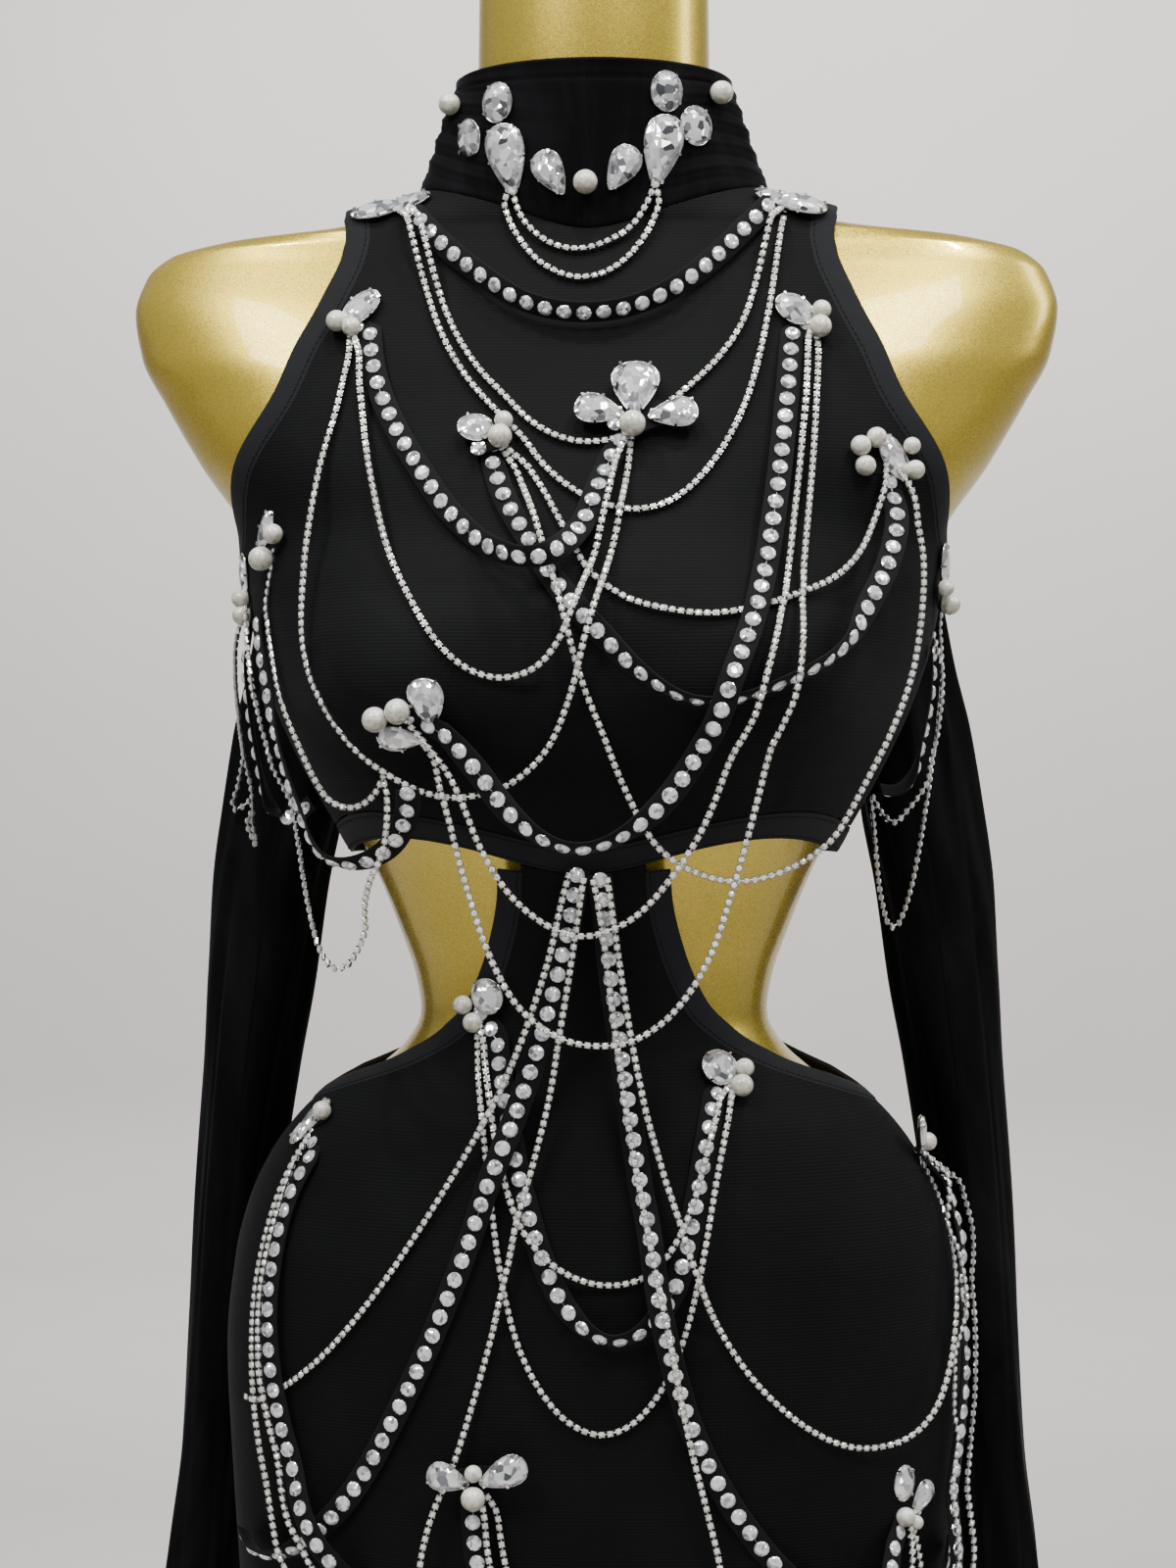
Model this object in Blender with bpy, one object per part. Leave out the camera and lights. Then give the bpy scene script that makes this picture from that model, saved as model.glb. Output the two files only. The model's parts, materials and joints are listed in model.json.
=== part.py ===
# A black halter dress with waist cut-outs, hanging sleeves and crystal drapes, on a gold
# limbless dress form with a pole and a round base. Millimetres in the tables, metres in Blender.
# Heights in the tables are measured from eye level, which is EYE_HEIGHT above the floor.
import math

import bmesh
import bpy
import numpy as np
from mathutils import Matrix, Vector
from mathutils.bvhtree import BVHTree

MM = 0.001
EYE_HEIGHT = 1180.0

# Cloth and its fit on the form
FIT_GAP = 1.2
WALL = 1.5
SEAM = 0.3
EDGE_GAP = 0.9
BINDING_WIDTH = 10.0
BAND_WIDTH = 12.0
HEM_HEIGHT = -600.0
SLEEVE_CLEAR = 1.1

# The form and its stand
FORM_END = -470.0
FORM_INSET = 4.2
SEAT_RING = -228
NECK_TOP = 400.0
POLE_RADIUS = 12.5
FLANGE_RADIUS = 45.0
FLANGE_THICK = 6.0
BASE_RADIUS = 172.0
BASE_THICK = 14.0

# The front drawing: an upright sheet through the form's axis, square to the line of sight.
# x runs to the right and y down, one unit is SHEET_UNIT mm, and the axis is at SHEET_AXIS.
VIEW_DISTANCE = 1500.0
VIEW_TURN = math.radians(3.0)
SHEET_UNIT = 0.47
SHEET_AXIS = (606.0, 800.0)

# Drapes
CHAIN_RADIUS = 1.5
STRAP_WIDTH = 11.0
STRAP_TOP = 6.5
STRAP_HEIGHT = 3.2
STRAP_TWIST = math.radians(65.0)
LAY_GAP = 1.0
END_GAP = 0.8
END_RAMP = 14.0
BESIDE = -18.0
LIFT_SLOPE = 0.35
PASS_UNDER = 13.0
SAMPLE_STEP = 2.5
CHAIN_TOLERANCE = 1.0
STRAP_STEP = 17.0
STRAP_EASE = 1.0
PLATE_THICK = 1.4
PLATE_MARGIN = 2.6
BROOCH_DROP = 22.0

# The figure's level sections: height, half width, depth in front, depth behind, squareness
FIGURE = (
    (-620, 160, 86, 96, 2.2),
    (-470, 163, 90, 100, 2.2),
    (-376, 167, 93, 106, 2.2),
    (-330, 170, 96, 116, 2.2),
    (-266, 173, 98, 128, 2.2),
    (-225, 169, 98, 130, 2.2),
    (-200, 163, 96, 126, 2.15),
    (-178, 153, 92, 118, 2.1),
    (-160, 140, 88, 108, 2.1),
    (-145, 124, 84, 98, 2.0),
    (-132, 106, 79, 89, 2.0),
    (-120, 93, 76, 81, 2.0),
    (-108, 87, 75, 77, 2.0),
    (-94, 89, 76, 76, 2.0),
    (-70, 97, 80, 78, 2.0),
    (-45, 107, 87, 82, 2.0),
    (-28, 115, 95, 86, 2.0),
    (-4, 128, 113, 90, 2.1),
    (18, 139, 126, 93, 2.2),
    (42, 150, 132, 95, 2.2),
    (66, 158, 131, 97, 2.2),
    (90, 163, 124, 98, 2.2),
    (113, 168, 113, 98, 2.1),
    (150, 192, 94, 95, 2.35),
    (179, 209, 79, 88, 2.5),
    (202, 221, 68, 80, 2.6),
    (226, 225, 57, 70, 2.6),
    (245, 219, 48, 60, 2.6),
    (256, 207, 43, 54, 2.6),
    (263, 182, 41, 51, 2.5),
    (268, 140, 41, 51, 2.3),
    (274, 103, 42, 52, 2.1),
    (281, 83, 44, 53, 2.0),
    (292, 69, 46, 56, 2.0),
    (306, 62, 49, 60, 2.0),
    (330, 60, 50, 63, 2.0),
    (400, 59, 47, 67, 2.0),
)
FORM_RINGS = (
    FORM_END, -360, -266, SEAT_RING, -178, -156, -138, -122, -108, -92, -68, -40, -5, 35, 75, 98, 112, 126,
    144, 166, 188, 208, 226, 242, 253, 260, 265, 270, 277, 287, 302, 330, NECK_TOP,
)
BUST = {"out": 24.0, "side": 84.0, "height": 42.0, "wide": 42.0, "tall": 46.0}

# Bodice rows: height at the centre, height at the edge, angle of the edge from the centre
BODICE_FRONT_ROWS = (
    (0, 4, 89.9),
    (28, 31, 89.9),
    (58, 60, 89.9),
    (88, 86, 89.9),
    (113, 104, 80),
    (140, 134, 70),
    (170, 168, 63.5),
    (202, 204, 63.3),
    (224, 230, 64.7),
    (234, 248, 67.1),
    (241, 264, 71),
    (244, 269.4, 75.6),
    (247, 273, 81.3),
)
BODICE_BACK_ROWS = (
    (15, 12, 89.9),
    (50, 48, 89.9),
    (86, 86, 89.9),
    (112, 104, 80),
    (142, 134, 68.5),
    (175, 168, 59.6),
    (208, 204, 57.5),
    (236, 237, 58.7),
    (258, 258, 62),
    (273, 271, 71.7),
    (284, 276.5, 89.9),
)
# Skirt rows below the waist panel's top, in the same columns
SKIRT_ROWS = (
    (-56, -56, 20),
    (-76, -74, 24),
    (-92, -90, 29),
    (-108, -106, 36),
    (-121, -118, 44.5),
    (-133, -128, 53.5),
    (-143, -136, 62.5),
    (-152, -142.5, 71.5),
    (-161, -148.5, 80.5),
    (-170, -153, 89.9),
    (-190, -183, 89.9),
    (-230, -226, 89.9),
    (-280, -280, 89.9),
    (-345, -345, 89.9),
    (-420, -420, 89.9),
    (-510, -510, 89.9),
    (HEM_HEIGHT, HEM_HEIGHT, 89.9),
)
WAIST_PANEL_EDGE = 17.5
SHOULDER_STRIP = 4.2
CUTOUT_ROWS = 10
CUTOUT_START = 4.5

# Sleeve sections: height, centre to the side, centre behind, half width, half depth
SLEEVE = (
    (92, 148, 58, 20, 15),
    (60, 150, 58, 24, 18),
    (25, 154, 60, 28, 20),
    (-10, 158, 62, 29, 20),
    (-50, 165, 62, 28, 20),
    (-94, 170, 62, 27, 19),
    (-141, 176, 63, 24, 18),
    (-200, 183, 64, 22, 17),
    (-266, 188, 65, 21, 17),
    (-330, 192, 65, 21, 17),
    (-376, 195, 64, 23, 18),
    (-420, 197, 63, 26, 20),
    (-460, 198, 62, 29, 21),
)
SLEEVE_FOLD = 0.10

COLLAR_TOP = {"height": 336.0, "side": 64.0, "front": 54.0, "back": 71.0}
COLLAR_FOLD = 1.6

# Stones on the collar: kind, x and y on the front drawing, width, height, tilt in degrees
COLLAR_STONES = (
    ("oval", 509, 105, 15, 18, -15),
    ("oval", 679, 93, 15, 18, 12),
    ("pear", 519, 163, 21, 33, 8),
    ("pear", 674, 154, 21, 33, -8),
    ("pear", 563, 177, 16, 22, 30),
    ("pear", 634, 172, 16, 22, -30),
    ("oval", 481, 142, 15, 18, -8),
    ("oval", 709, 129, 15, 18, 8),
    ("pearl", 598, 186, 11.5, 11.5, 0),
    ("pearl", 466, 109, 10.5, 10.5, 0),
    ("pearl", 729, 97, 11, 11, 0),
)

# Drapes on the front drawing, in the order in which they are laid
STRAPS = {
    "strap_necklace": ((424, 220), (440, 242), (465, 268), (495, 292), (530, 315), (565, 326), (600, 329),
                       (640, 324), (680, 308), (712, 286), (742, 258), (765, 234), (785, 214)),
    "strap_chest_right": ((503, 472), (511, 500), (525, 530), (542, 557), (560, 587), (585, 620), (615, 650),
                          (645, 680), (680, 703), (712, 713), (750, 712), (790, 700), (830, 680), (865, 650),
                          (890, 610), (908, 570), (915, 530), (908, 497)),
    "strap_chest_left": ((378, 340), (381, 370), (390, 405), (408, 445), (432, 485), (462, 530), (495, 565),
                         (525, 583), (550, 588), (575, 575), (592, 548), (604, 520), (613, 495), (622, 470)),
    "strap_long": ((808, 342), (803, 400), (797, 460), (790, 520), (780, 580), (766, 640), (748, 690),
                   (728, 740), (700, 790), (665, 833), (625, 860), (590, 868), (555, 858), (520, 830),
                   (490, 790), (468, 762), (452, 745)),
    "strap_under_arm_left": ((424, 782), (422, 812), (413, 845), (395, 872), (370, 884), (342, 874),
                             (318, 840), (300, 795), (285, 740), (274, 680), (266, 630)),
    "strap_side_right": ((948, 660), (942, 720), (931, 770), (916, 798), (900, 808), (886, 803)),
    "strap_side_left": ((254, 645), (258, 700), (266, 760), (278, 808), (296, 834), (314, 834), (328, 818)),
    "strap_sweep_left": ((590, 884), (582, 940), (568, 1000), (552, 1060), (536, 1110), (515, 1170),
                         (492, 1235), (468, 1300), (438, 1375), (405, 1445), (370, 1510), (330, 1562),
                         (295, 1585), (270, 1580), (258, 1560)),
    "strap_sweep_right": ((612, 884), (618, 940), (624, 1000), (633, 1060), (642, 1130), (652, 1200),
                          (662, 1260), (672, 1330), (685, 1390), (703, 1450), (725, 1500), (755, 1550),
                          (795, 1600), (850, 1635), (905, 1640), (945, 1610), (963, 1570)),
    "strap_waist": ((509, 1060), (512, 1092), (519, 1140), (528, 1190), (540, 1240), (556, 1290),
                    (575, 1330), (600, 1358), (628, 1368), (660, 1355), (685, 1322), (700, 1275),
                    (711, 1220), (720, 1165), (728, 1120)),
    "strap_hip_left": ((318, 1184), (305, 1210), (291, 1250), (282, 1300), (278, 1350), (282, 1410),
                       (295, 1470), (315, 1525), (345, 1580), (372, 1625)),
    "strap_hip_right": ((946, 1203), (956, 1225), (968, 1275), (976, 1330), (979, 1390), (976, 1440),
                        (970, 1490), (963, 1540), (953, 1590), (938, 1640)),
    "strap_thigh": ((483, 1542), (488, 1590), (505, 1650), (540, 1705), (595, 1745), (660, 1765),
                    (725, 1760), (790, 1735), (840, 1690), (875, 1640), (895, 1600), (906, 1575)),
}
# Two chains that share both ends are one loop, out along the longer one and back along the shorter
LOOPS = {
    "chains_neck": (
        ((418, 230), (432, 285), (450, 340), (475, 385), (505, 420), (532, 447), (556, 478), (585, 502),
         (620, 518), (655, 522), (690, 510), (722, 480), (748, 440), (768, 390), (784, 320), (797, 234)),
        ((430, 228), (444, 285), (462, 335), (487, 376), (515, 406), (540, 431), (567, 447), (600, 454),
         (640, 446), (675, 420), (705, 395), (735, 365), (758, 330), (774, 280), (786, 232))),
    "chains_chest_right": (
        ((527, 480), (545, 530), (560, 580), (572, 620), (585, 665), (598, 705), (615, 745), (632, 790),
         (650, 830), (672, 865), (705, 888), (745, 899), (785, 894), (825, 875), (855, 848), (885, 795),
         (910, 745), (930, 690), (940, 630), (942, 570), (932, 525), (918, 492)),
        ((538, 476), (556, 505), (578, 545), (602, 585), (640, 612), (685, 624), (730, 628), (775, 621),
         (815, 607), (850, 590), (878, 562), (893, 525), (898, 490))),
    "chains_chest_left": (
        ((357, 364), (345, 420), (328, 480), (314, 550), (310, 620), (318, 680), (338, 725), (368, 765),
         (405, 795), (445, 812), (485, 812), (525, 797), (560, 760), (583, 705), (600, 650), (618, 590),
         (632, 530), (641, 478)),
        ((370, 367), (372, 430), (380, 490), (395, 555), (418, 610), (445, 655), (475, 682), (510, 692),
         (545, 683), (571, 656), (589, 620), (606, 575), (620, 520), (629, 476))),
    "chains_long": (
        ((835, 356), (831, 430), (825, 520), (816, 600), (804, 680), (791, 740), (772, 820), (750, 900),
         (725, 975), (690, 1030), (650, 1060), (610, 1067), (570, 1058), (530, 1028), (500, 975),
         (475, 900), (457, 830), (443, 770)),
        ((823, 354), (819, 430), (811, 520), (800, 600), (784, 665), (766, 720), (745, 775), (722, 835),
         (695, 882), (655, 930), (620, 950), (590, 955), (555, 942), (520, 912), (492, 868), (470, 812),
         (455, 766))),
    "chains_under_arm_left": (
        ((405, 780), (400, 830), (391, 890), (378, 950), (360, 985), (345, 988), (330, 965), (318, 915),
         (308, 850), (297, 790), (284, 735), (272, 675), (264, 618)),
        ((394, 787), (383, 810), (362, 824), (338, 818), (319, 790), (303, 752), (291, 712), (282, 665),
         (275, 616))),
    "chains_side_right": (
        ((957, 640), (954, 700), (947, 770), (937, 840), (926, 900), (912, 943), (902, 945), (893, 910),
         (888, 860), (885, 814)),
        ((947, 645), (942, 710), (934, 775), (921, 820), (909, 840), (900, 833), (895, 812))),
    "chains_side_left": (
        ((246, 643), (250, 720), (261, 790), (277, 842), (299, 862), (320, 850), (334, 828)),
        ((256, 647), (261, 715), (273, 775), (290, 814), (308, 828), (324, 816))),
    "chains_waist": (
        ((489, 1068), (491, 1112), (496, 1170), (503, 1235), (512, 1300), (527, 1365), (550, 1415),
         (580, 1450), (615, 1463), (650, 1448), (680, 1408), (702, 1350), (716, 1280), (729, 1200),
         (742, 1127)),
        ((500, 1068), (503, 1112), (509, 1165), (520, 1215), (535, 1255), (560, 1285), (590, 1304),
         (620, 1311), (655, 1304), (682, 1278), (703, 1235), (718, 1180), (731, 1124))),
    "chains_hip_left": (
        ((303, 1185), (288, 1220), (273, 1270), (263, 1330), (260, 1400), (264, 1460), (275, 1520),
         (292, 1575), (318, 1622), (345, 1655)),
        ((312, 1188), (299, 1228), (286, 1275), (276, 1335), (273, 1395), (281, 1440), (296, 1490),
         (316, 1540), (336, 1580), (355, 1630))),
    "chains_hip_right": (
        ((957, 1206), (966, 1250), (976, 1320), (981, 1400), (977, 1470), (970, 1530), (960, 1590),
         (944, 1650)),
        ((945, 1206), (955, 1250), (965, 1320), (969, 1400), (966, 1470), (958, 1530), (947, 1590),
         (932, 1640))),
    "chains_thigh": (
        ((497, 1540), (505, 1600), (530, 1690), (580, 1765), (645, 1812), (715, 1828), (790, 1812),
         (855, 1762), (900, 1690), (922, 1620), (928, 1577)),
        ((508, 1540), (518, 1600), (543, 1675), (590, 1730), (650, 1765), (715, 1776), (785, 1760),
         (845, 1715), (885, 1655), (908, 1605), (916, 1577))),
    "chains_collar": (
        ((514, 206), (524, 235), (545, 265), (570, 281), (590, 286), (615, 282), (640, 266), (660, 240),
         (673, 208)),
        ((525, 203), (536, 228), (560, 250), (590, 257), (620, 249), (645, 232), (662, 204))),
}
CHAINS = {
    "chain_sweep_left": ((583, 882), (575, 915), (563, 970), (548, 1020), (530, 1070), (505, 1125),
                         (470, 1190), (430, 1255), (385, 1320), (340, 1375), (300, 1410), (268, 1428),
                         (252, 1424)),
    "chain_sweep_right": ((619, 882), (627, 940), (637, 1010), (649, 1080), (664, 1150), (683, 1220),
                          (703, 1285), (730, 1350), (770, 1410), (820, 1455), (870, 1476), (920, 1468),
                          (952, 1440), (968, 1395), (972, 1340), (968, 1280), (958, 1235), (950, 1206)),
    "chain_drop": ((597, 884), (590, 940), (581, 1000), (571, 1060), (561, 1120), (549, 1170), (537, 1220),
                   (523, 1280), (506, 1350), (487, 1420), (465, 1490), (440, 1550), (428, 1610),
                   (434, 1680), (465, 1740), (525, 1785), (590, 1800), (650, 1785), (705, 1740),
                   (733, 1680), (736, 1610), (722, 1545), (705, 1480), (690, 1410), (677, 1340),
                   (662, 1270), (650, 1200), (638, 1120), (627, 1040), (617, 960), (606, 884)),
}
LAY_ORDER = (
    "strap_necklace", "chains_neck", "strap_chest_right", "chains_chest_right", "strap_chest_left",
    "chains_chest_left", "strap_long", "strap_under_arm_left", "chains_under_arm_left",
    "strap_side_left", "chains_side_left", "strap_side_right", "chains_side_right",
    "strap_waist", "chains_waist", "strap_sweep_left", "chain_sweep_left", "strap_sweep_right",
    "chain_drop", "chain_sweep_right", "chains_long", "strap_hip_left", "chains_hip_left",
    "strap_hip_right", "chains_hip_right", "strap_thigh", "chains_thigh", "chains_collar",
)
# Drapes whose start hangs on a brooch, in front of another drape's
HUNG = ("chains_under_arm_left",)

# Brooches: the centre on the front drawing, then stones as kind, right, up, width, height, tilt
BROOCHES = {
    "brooch_shoulder_left": ((402, 214), (("oval", -7, -3, 12, 25, -70), ("oval", 7, 3, 10, 22, -50))),
    "brooch_shoulder_right": ((803, 210), (("oval", -6, 3, 10, 20, 50), ("oval", 6, -3, 14, 24, 65))),
    "brooch_chest_left": ((362, 328), (("oval", 3, 6, 12, 21, -42), ("pearl", -7, -3, 10, 10, 0),
                                       ("pearl", 0, -6, 9, 9, 0))),
    "brooch_flower": ((646, 424), (("pear", 1, 10, 23, 27, 0), ("pear", -14, -1, 14, 20, 80),
                                   ("pear", 18, -2, 14, 20, -80), ("pearl", 0, -11, 11, 11, 0),
                                   ("round", -8, -8, 6, 6, 0))),
    "brooch_chest_centre": ((500, 447), (("oval", -6, 2, 13, 16, 70), ("pearl", 7, 4, 8.5, 8.5, 0),
                                         ("pearl", 6, -5, 11, 11, 0), ("round", -4, -9, 6, 6, 0))),
    "brooch_right_bust": ((899, 464), (("pearl", -12, 3, 9.5, 9.5, 0), ("pearl", -4, 7, 9.5, 9.5, 0),
                                       ("pearl", -10, -6, 9.5, 9.5, 0), ("oval", 6, -1, 11, 22, 30),
                                       ("pearl", 14, 4, 8, 8, 0), ("pearl", 15, -7, 9, 9, 0))),
    "brooch_chest_right": ((824, 326), (("oval", -6, 4, 13, 19, 50), ("pearl", 6, 2, 9, 9, 0),
                                        ("pearl", 5, -7, 10.5, 10.5, 0))),
    "brooch_under_bust": ((418, 738), (("pear", 9, 9, 18, 24, 0), ("pear", -5, -8, 15, 23, 85),
                                       ("pearl", -15, 3, 11.5, 11.5, 0), ("pearl", -4, 7, 11.5, 11.5, 0))),
    "brooch_side_left": ((278, 558), (("oval", -3, 8, 9, 19, -25), ("pearl", 8, 5, 9.5, 9.5, 0),
                                      ("pearl", 0, -6, 11.5, 11.5, 0))),
    "brooch_arm_left": ((254, 606), (("oval", 0, 9, 9, 20, -5), ("pearl", 2, -2, 9, 9, 0),
                                     ("pearl", 3, -10, 9.5, 9.5, 0))),
    "brooch_arm_right": ((956, 596), (("oval", 2, 9, 10, 20, 10), ("pearl", -5, -2, 8, 8, 0),
                                      ("pearl", 3, -9, 10, 10, 0))),
    "brooch_waist_left": ((494, 1026), (("round", 4, 5, 16, 16, 0), ("pearl", -8, 1, 9, 9, 0),
                                        ("pearl", -3, -7, 9.5, 9.5, 0))),
    "brooch_waist_right": ((742, 1100), (("round", -4, 4, 17, 17, 0), ("pearl", 7, 2, 9, 9, 0),
                                         ("pearl", 3, -7, 10.5, 10.5, 0))),
    "brooch_hip_left": ((322, 1146), (("oval", -2, 3, 11, 20, -25), ("pearl", 7, 5, 9, 9, 0),
                                      ("oval", -6, -6, 9, 14, -20))),
    "brooch_hip_right": ((938, 1166), (("oval", -4, 5, 10, 18, 25), ("pearl", 5, 0, 9, 9, 0),
                                       ("round", 2, -8, 7, 7, 0))),
    "brooch_thigh_left": ((489, 1508), (("pear", -12, 2, 14, 19, 75), ("pear", 13, 5, 15, 23, -65),
                                        ("pearl", 0, 5, 8, 8, 0), ("pearl", 0, -6, 11, 11, 0))),
    "brooch_thigh_right": ((928, 1534), (("oval", -4, 10, 12, 16, 0), ("pear", 8, 1, 12, 18, -40),
                                         ("pearl", -5, -5, 9, 9, 0), ("pearl", 3, -9, 7, 7, 0))),
}

LOOKS = {
    "knit": ((0.012, 0.013, 0.015), 0.75, 0.0),
    "velvet": ((0.008, 0.008, 0.010), 0.85, 0.0),
    "binding": ((0.020, 0.022, 0.026), 0.80, 0.0),
    "gold": ((0.72, 0.56, 0.20), 0.30, 0.85),
    "chrome": ((0.75, 0.75, 0.77), 0.20, 1.0),
    "crystal": ((0.80, 0.82, 0.86), 0.10, 0.0),
    "chain": ((0.78, 0.76, 0.70), 0.25, 0.9),
}


def clear_scene():
    for thing in list(bpy.data.objects):
        bpy.data.objects.remove(thing, do_unlink=True)


def collection_named(name):
    made = bpy.data.collections.new(name)
    bpy.context.scene.collection.children.link(made)
    return made


def look(name):
    made = bpy.data.materials.get(name)
    if made is None:
        colour, roughness, metallic = LOOKS[name]
        made = bpy.data.materials.new(name)
        made.use_nodes = True
        shader = made.node_tree.nodes["Principled BSDF"]
        shader.inputs["Base Color"].default_value = (*colour, 1.0)
        shader.inputs["Roughness"].default_value = roughness
        shader.inputs["Metallic"].default_value = metallic
    return made


def to_metres(points):
    """Table millimetres, measured from eye level, to metres above the floor."""
    moved = np.array(points, float).reshape(-1, 3)
    return (moved + (0.0, 0.0, EYE_HEIGHT)) * MM


def add_mesh(name, points, faces, material, into):
    mesh = bpy.data.meshes.new(name)
    mesh.from_pydata(to_metres(points).tolist(), [], faces)
    mesh.validate()
    mesh.update()
    thing = bpy.data.objects.new(name, mesh)
    into.objects.link(thing)
    mesh.materials.append(look(material))
    mesh.shade_smooth()
    mesh.set_sharp_from_angle(angle=math.radians(40))
    return thing


# The figure

def smooth_column(heights, values, z):
    """A monotone curve through a table's column, read at the heights z."""
    step = np.diff(heights)
    slope = np.diff(values) / step
    joined = slope[:-1] * slope[1:] > 0
    inner = np.zeros(len(slope) - 1)
    inner[joined] = 2 * slope[:-1][joined] * slope[1:][joined] / (slope[:-1] + slope[1:])[joined]
    tangent = np.concatenate([[slope[0]], inner, [slope[-1]]])
    i = np.clip(np.searchsorted(heights, z) - 1, 0, len(step) - 1)
    t = (z - heights[i]) / step[i]
    return (
        values[i] * (1 + 2 * t) * (1 - t) ** 2
        + tangent[i] * step[i] * t * (1 - t) ** 2
        + values[i + 1] * t * t * (3 - 2 * t)
        - tangent[i + 1] * step[i] * t * t * (1 - t)
    )


def section(z):
    """Half width, depth in front, depth behind and squareness of the figure at height z."""
    table = np.array(FIGURE, float)
    z = np.clip(z, table[0, 0], table[-1, 0])
    return [smooth_column(table[:, 0], table[:, k], z) for k in range(1, 5)]


def figure_radius(angle, z):
    """Distance from the form's axis to its skin. Angle 0 is the front and 90 degrees the right side."""
    side, front, back, power = section(z)
    across, along = np.abs(np.sin(angle)), np.cos(angle)
    depth = np.where(along > 0, front, back)
    radius = ((across / side) ** power + (np.abs(along) / depth) ** power) ** (-1 / power)
    away = (radius * across - BUST["side"]) / BUST["wide"]
    above = (z - BUST["height"]) / BUST["tall"]
    return radius + BUST["out"] * np.exp(-(away**2) - above**2) * np.clip(along, 0, 1) ** 0.5


def figure_point(angle, z, out=0.0):
    """Points on the figure at these angles and heights, moved out along its normal by out."""
    angle, z = np.broadcast_arrays(np.asarray(angle, float), np.asarray(z, float))

    def skin(a, h):
        radius = figure_radius(a, h)
        return np.stack([radius * np.sin(a), -radius * np.cos(a), h], axis=-1)

    turn, rise = 0.004, 0.3
    around = skin(angle + turn, z) - skin(angle - turn, z)
    up = skin(angle, z + rise) - skin(angle, z - rise)
    normal = np.cross(around, up)
    normal /= np.linalg.norm(normal, axis=-1, keepdims=True)
    return skin(angle, z) + normal * out


def neckline(angle):
    """Height of the collar seam."""
    high = np.where(np.cos(angle) > 0, 258.0, 292.0)
    return high + (281.0 - high) * np.sin(angle) ** 2


def bodice_top(angle):
    return neckline(angle) - SEAM


def shoulder_row(angle):
    return bodice_top(angle) - SHOULDER_STRIP


def bodice_foot(angle):
    """Height of the bodice's lower edge, which arches under each side of the bust."""
    front = -27.0 + 8.0 * np.sin(angle) ** 2 + 12.0 * np.sin(2 * angle) ** 2
    return np.where(np.cos(angle) > 0, front, -19.0)


# Cloth

def wall(name, inner, outer, material, into, ring=False):
    """A closed wall between two grids of points. Rows go up, and columns to the right seen from outside."""
    rows, cols = inner.shape[:2]
    points = np.concatenate([inner.reshape(-1, 3), outer.reshape(-1, 3)])

    def at(layer, i, j):
        return layer * rows * cols + i * cols + j % cols

    faces = []
    across = cols if ring else cols - 1
    for i in range(rows - 1):
        for j in range(across):
            faces.append([at(1, i, j), at(1, i, j + 1), at(1, i + 1, j + 1), at(1, i + 1, j)])
            faces.append([at(0, i, j), at(0, i + 1, j), at(0, i + 1, j + 1), at(0, i, j + 1)])
    top = rows - 1
    for j in range(across):
        faces.append([at(0, 0, j), at(0, 0, j + 1), at(1, 0, j + 1), at(1, 0, j)])
        faces.append([at(1, top, j), at(1, top, j + 1), at(0, top, j + 1), at(0, top, j)])
    if not ring:
        end = cols - 1
        for i in range(top):
            faces.append([at(0, i, 0), at(1, i, 0), at(1, i + 1, 0), at(0, i + 1, 0)])
            faces.append([at(1, i, end), at(0, i, end), at(0, i + 1, end), at(1, i + 1, end)])
    return add_mesh(name, points, faces, material, into)


def panel_grid(rows, columns, facing):
    """Angles and heights of a panel's grid, its columns closer together towards the sides.
    A row's height can be a function, and facing is 0 or 180."""
    even = np.linspace(-1, 1, columns)
    share = 0.6 * even + 0.4 * np.sin(even * math.pi / 2)
    angles, heights = [], []
    for row in rows:
        if callable(row[0]):
            edge = math.radians(row[1])
            angle = share * edge + math.radians(facing)
            height = row[0](angle)
        else:
            centre, edge_height, edge_angle = row
            angle = share * math.radians(edge_angle) + math.radians(facing)
            height = centre + (edge_height - centre) * share**2
        angles.append(angle)
        heights.append(height)
    return np.array(angles), np.array(heights)


def panel(name, rows, columns, facing, material, into):
    angles, heights = panel_grid(rows, columns, facing)
    inner = figure_point(angles, heights, FIT_GAP)
    outer = figure_point(angles, heights, FIT_GAP + WALL)
    return wall(name, inner, outer, material, into)


def strip_beside(edge, closed, width):
    """A strip's two edges on the figure, beside an edge given as angle and height: the first lies
    EDGE_GAP away from it and the second a further width away. The strip lies to the left of the edge."""
    skin = figure_point(edge[:, 0], edge[:, 1])
    raised = figure_point(edge[:, 0], edge[:, 1], 1.0)
    normal = raised - skin
    if closed:
        along = np.roll(skin, -1, axis=0) - np.roll(skin, 1, axis=0)
    else:
        along = np.gradient(skin, axis=0)
    across = np.cross(normal, along)
    across /= np.linalg.norm(across, axis=1, keepdims=True)
    edges = []
    for distance, rise in ((EDGE_GAP, 0.0), (EDGE_GAP + width, 0.4)):
        base = skin + across * distance
        edges.append([base + normal * (FIT_GAP + rise), base + normal * (FIT_GAP + WALL + rise)])
    inner = np.array([edges[0][0], edges[1][0]])
    outer = np.array([edges[0][1], edges[1][1]])
    return inner, outer


def binding(name, edge, closed, into):
    """A bound edge on the right side, and its mirror on the left."""
    inner, outer = strip_beside(edge, closed, BINDING_WIDTH)
    wall(name + "_right", inner, outer, "binding", into, ring=closed)
    mirror = (-1.0, 1.0, 1.0)
    wall(name + "_left", inner[:, ::-1] * mirror, outer[:, ::-1] * mirror, "binding", into, ring=closed)


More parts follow.
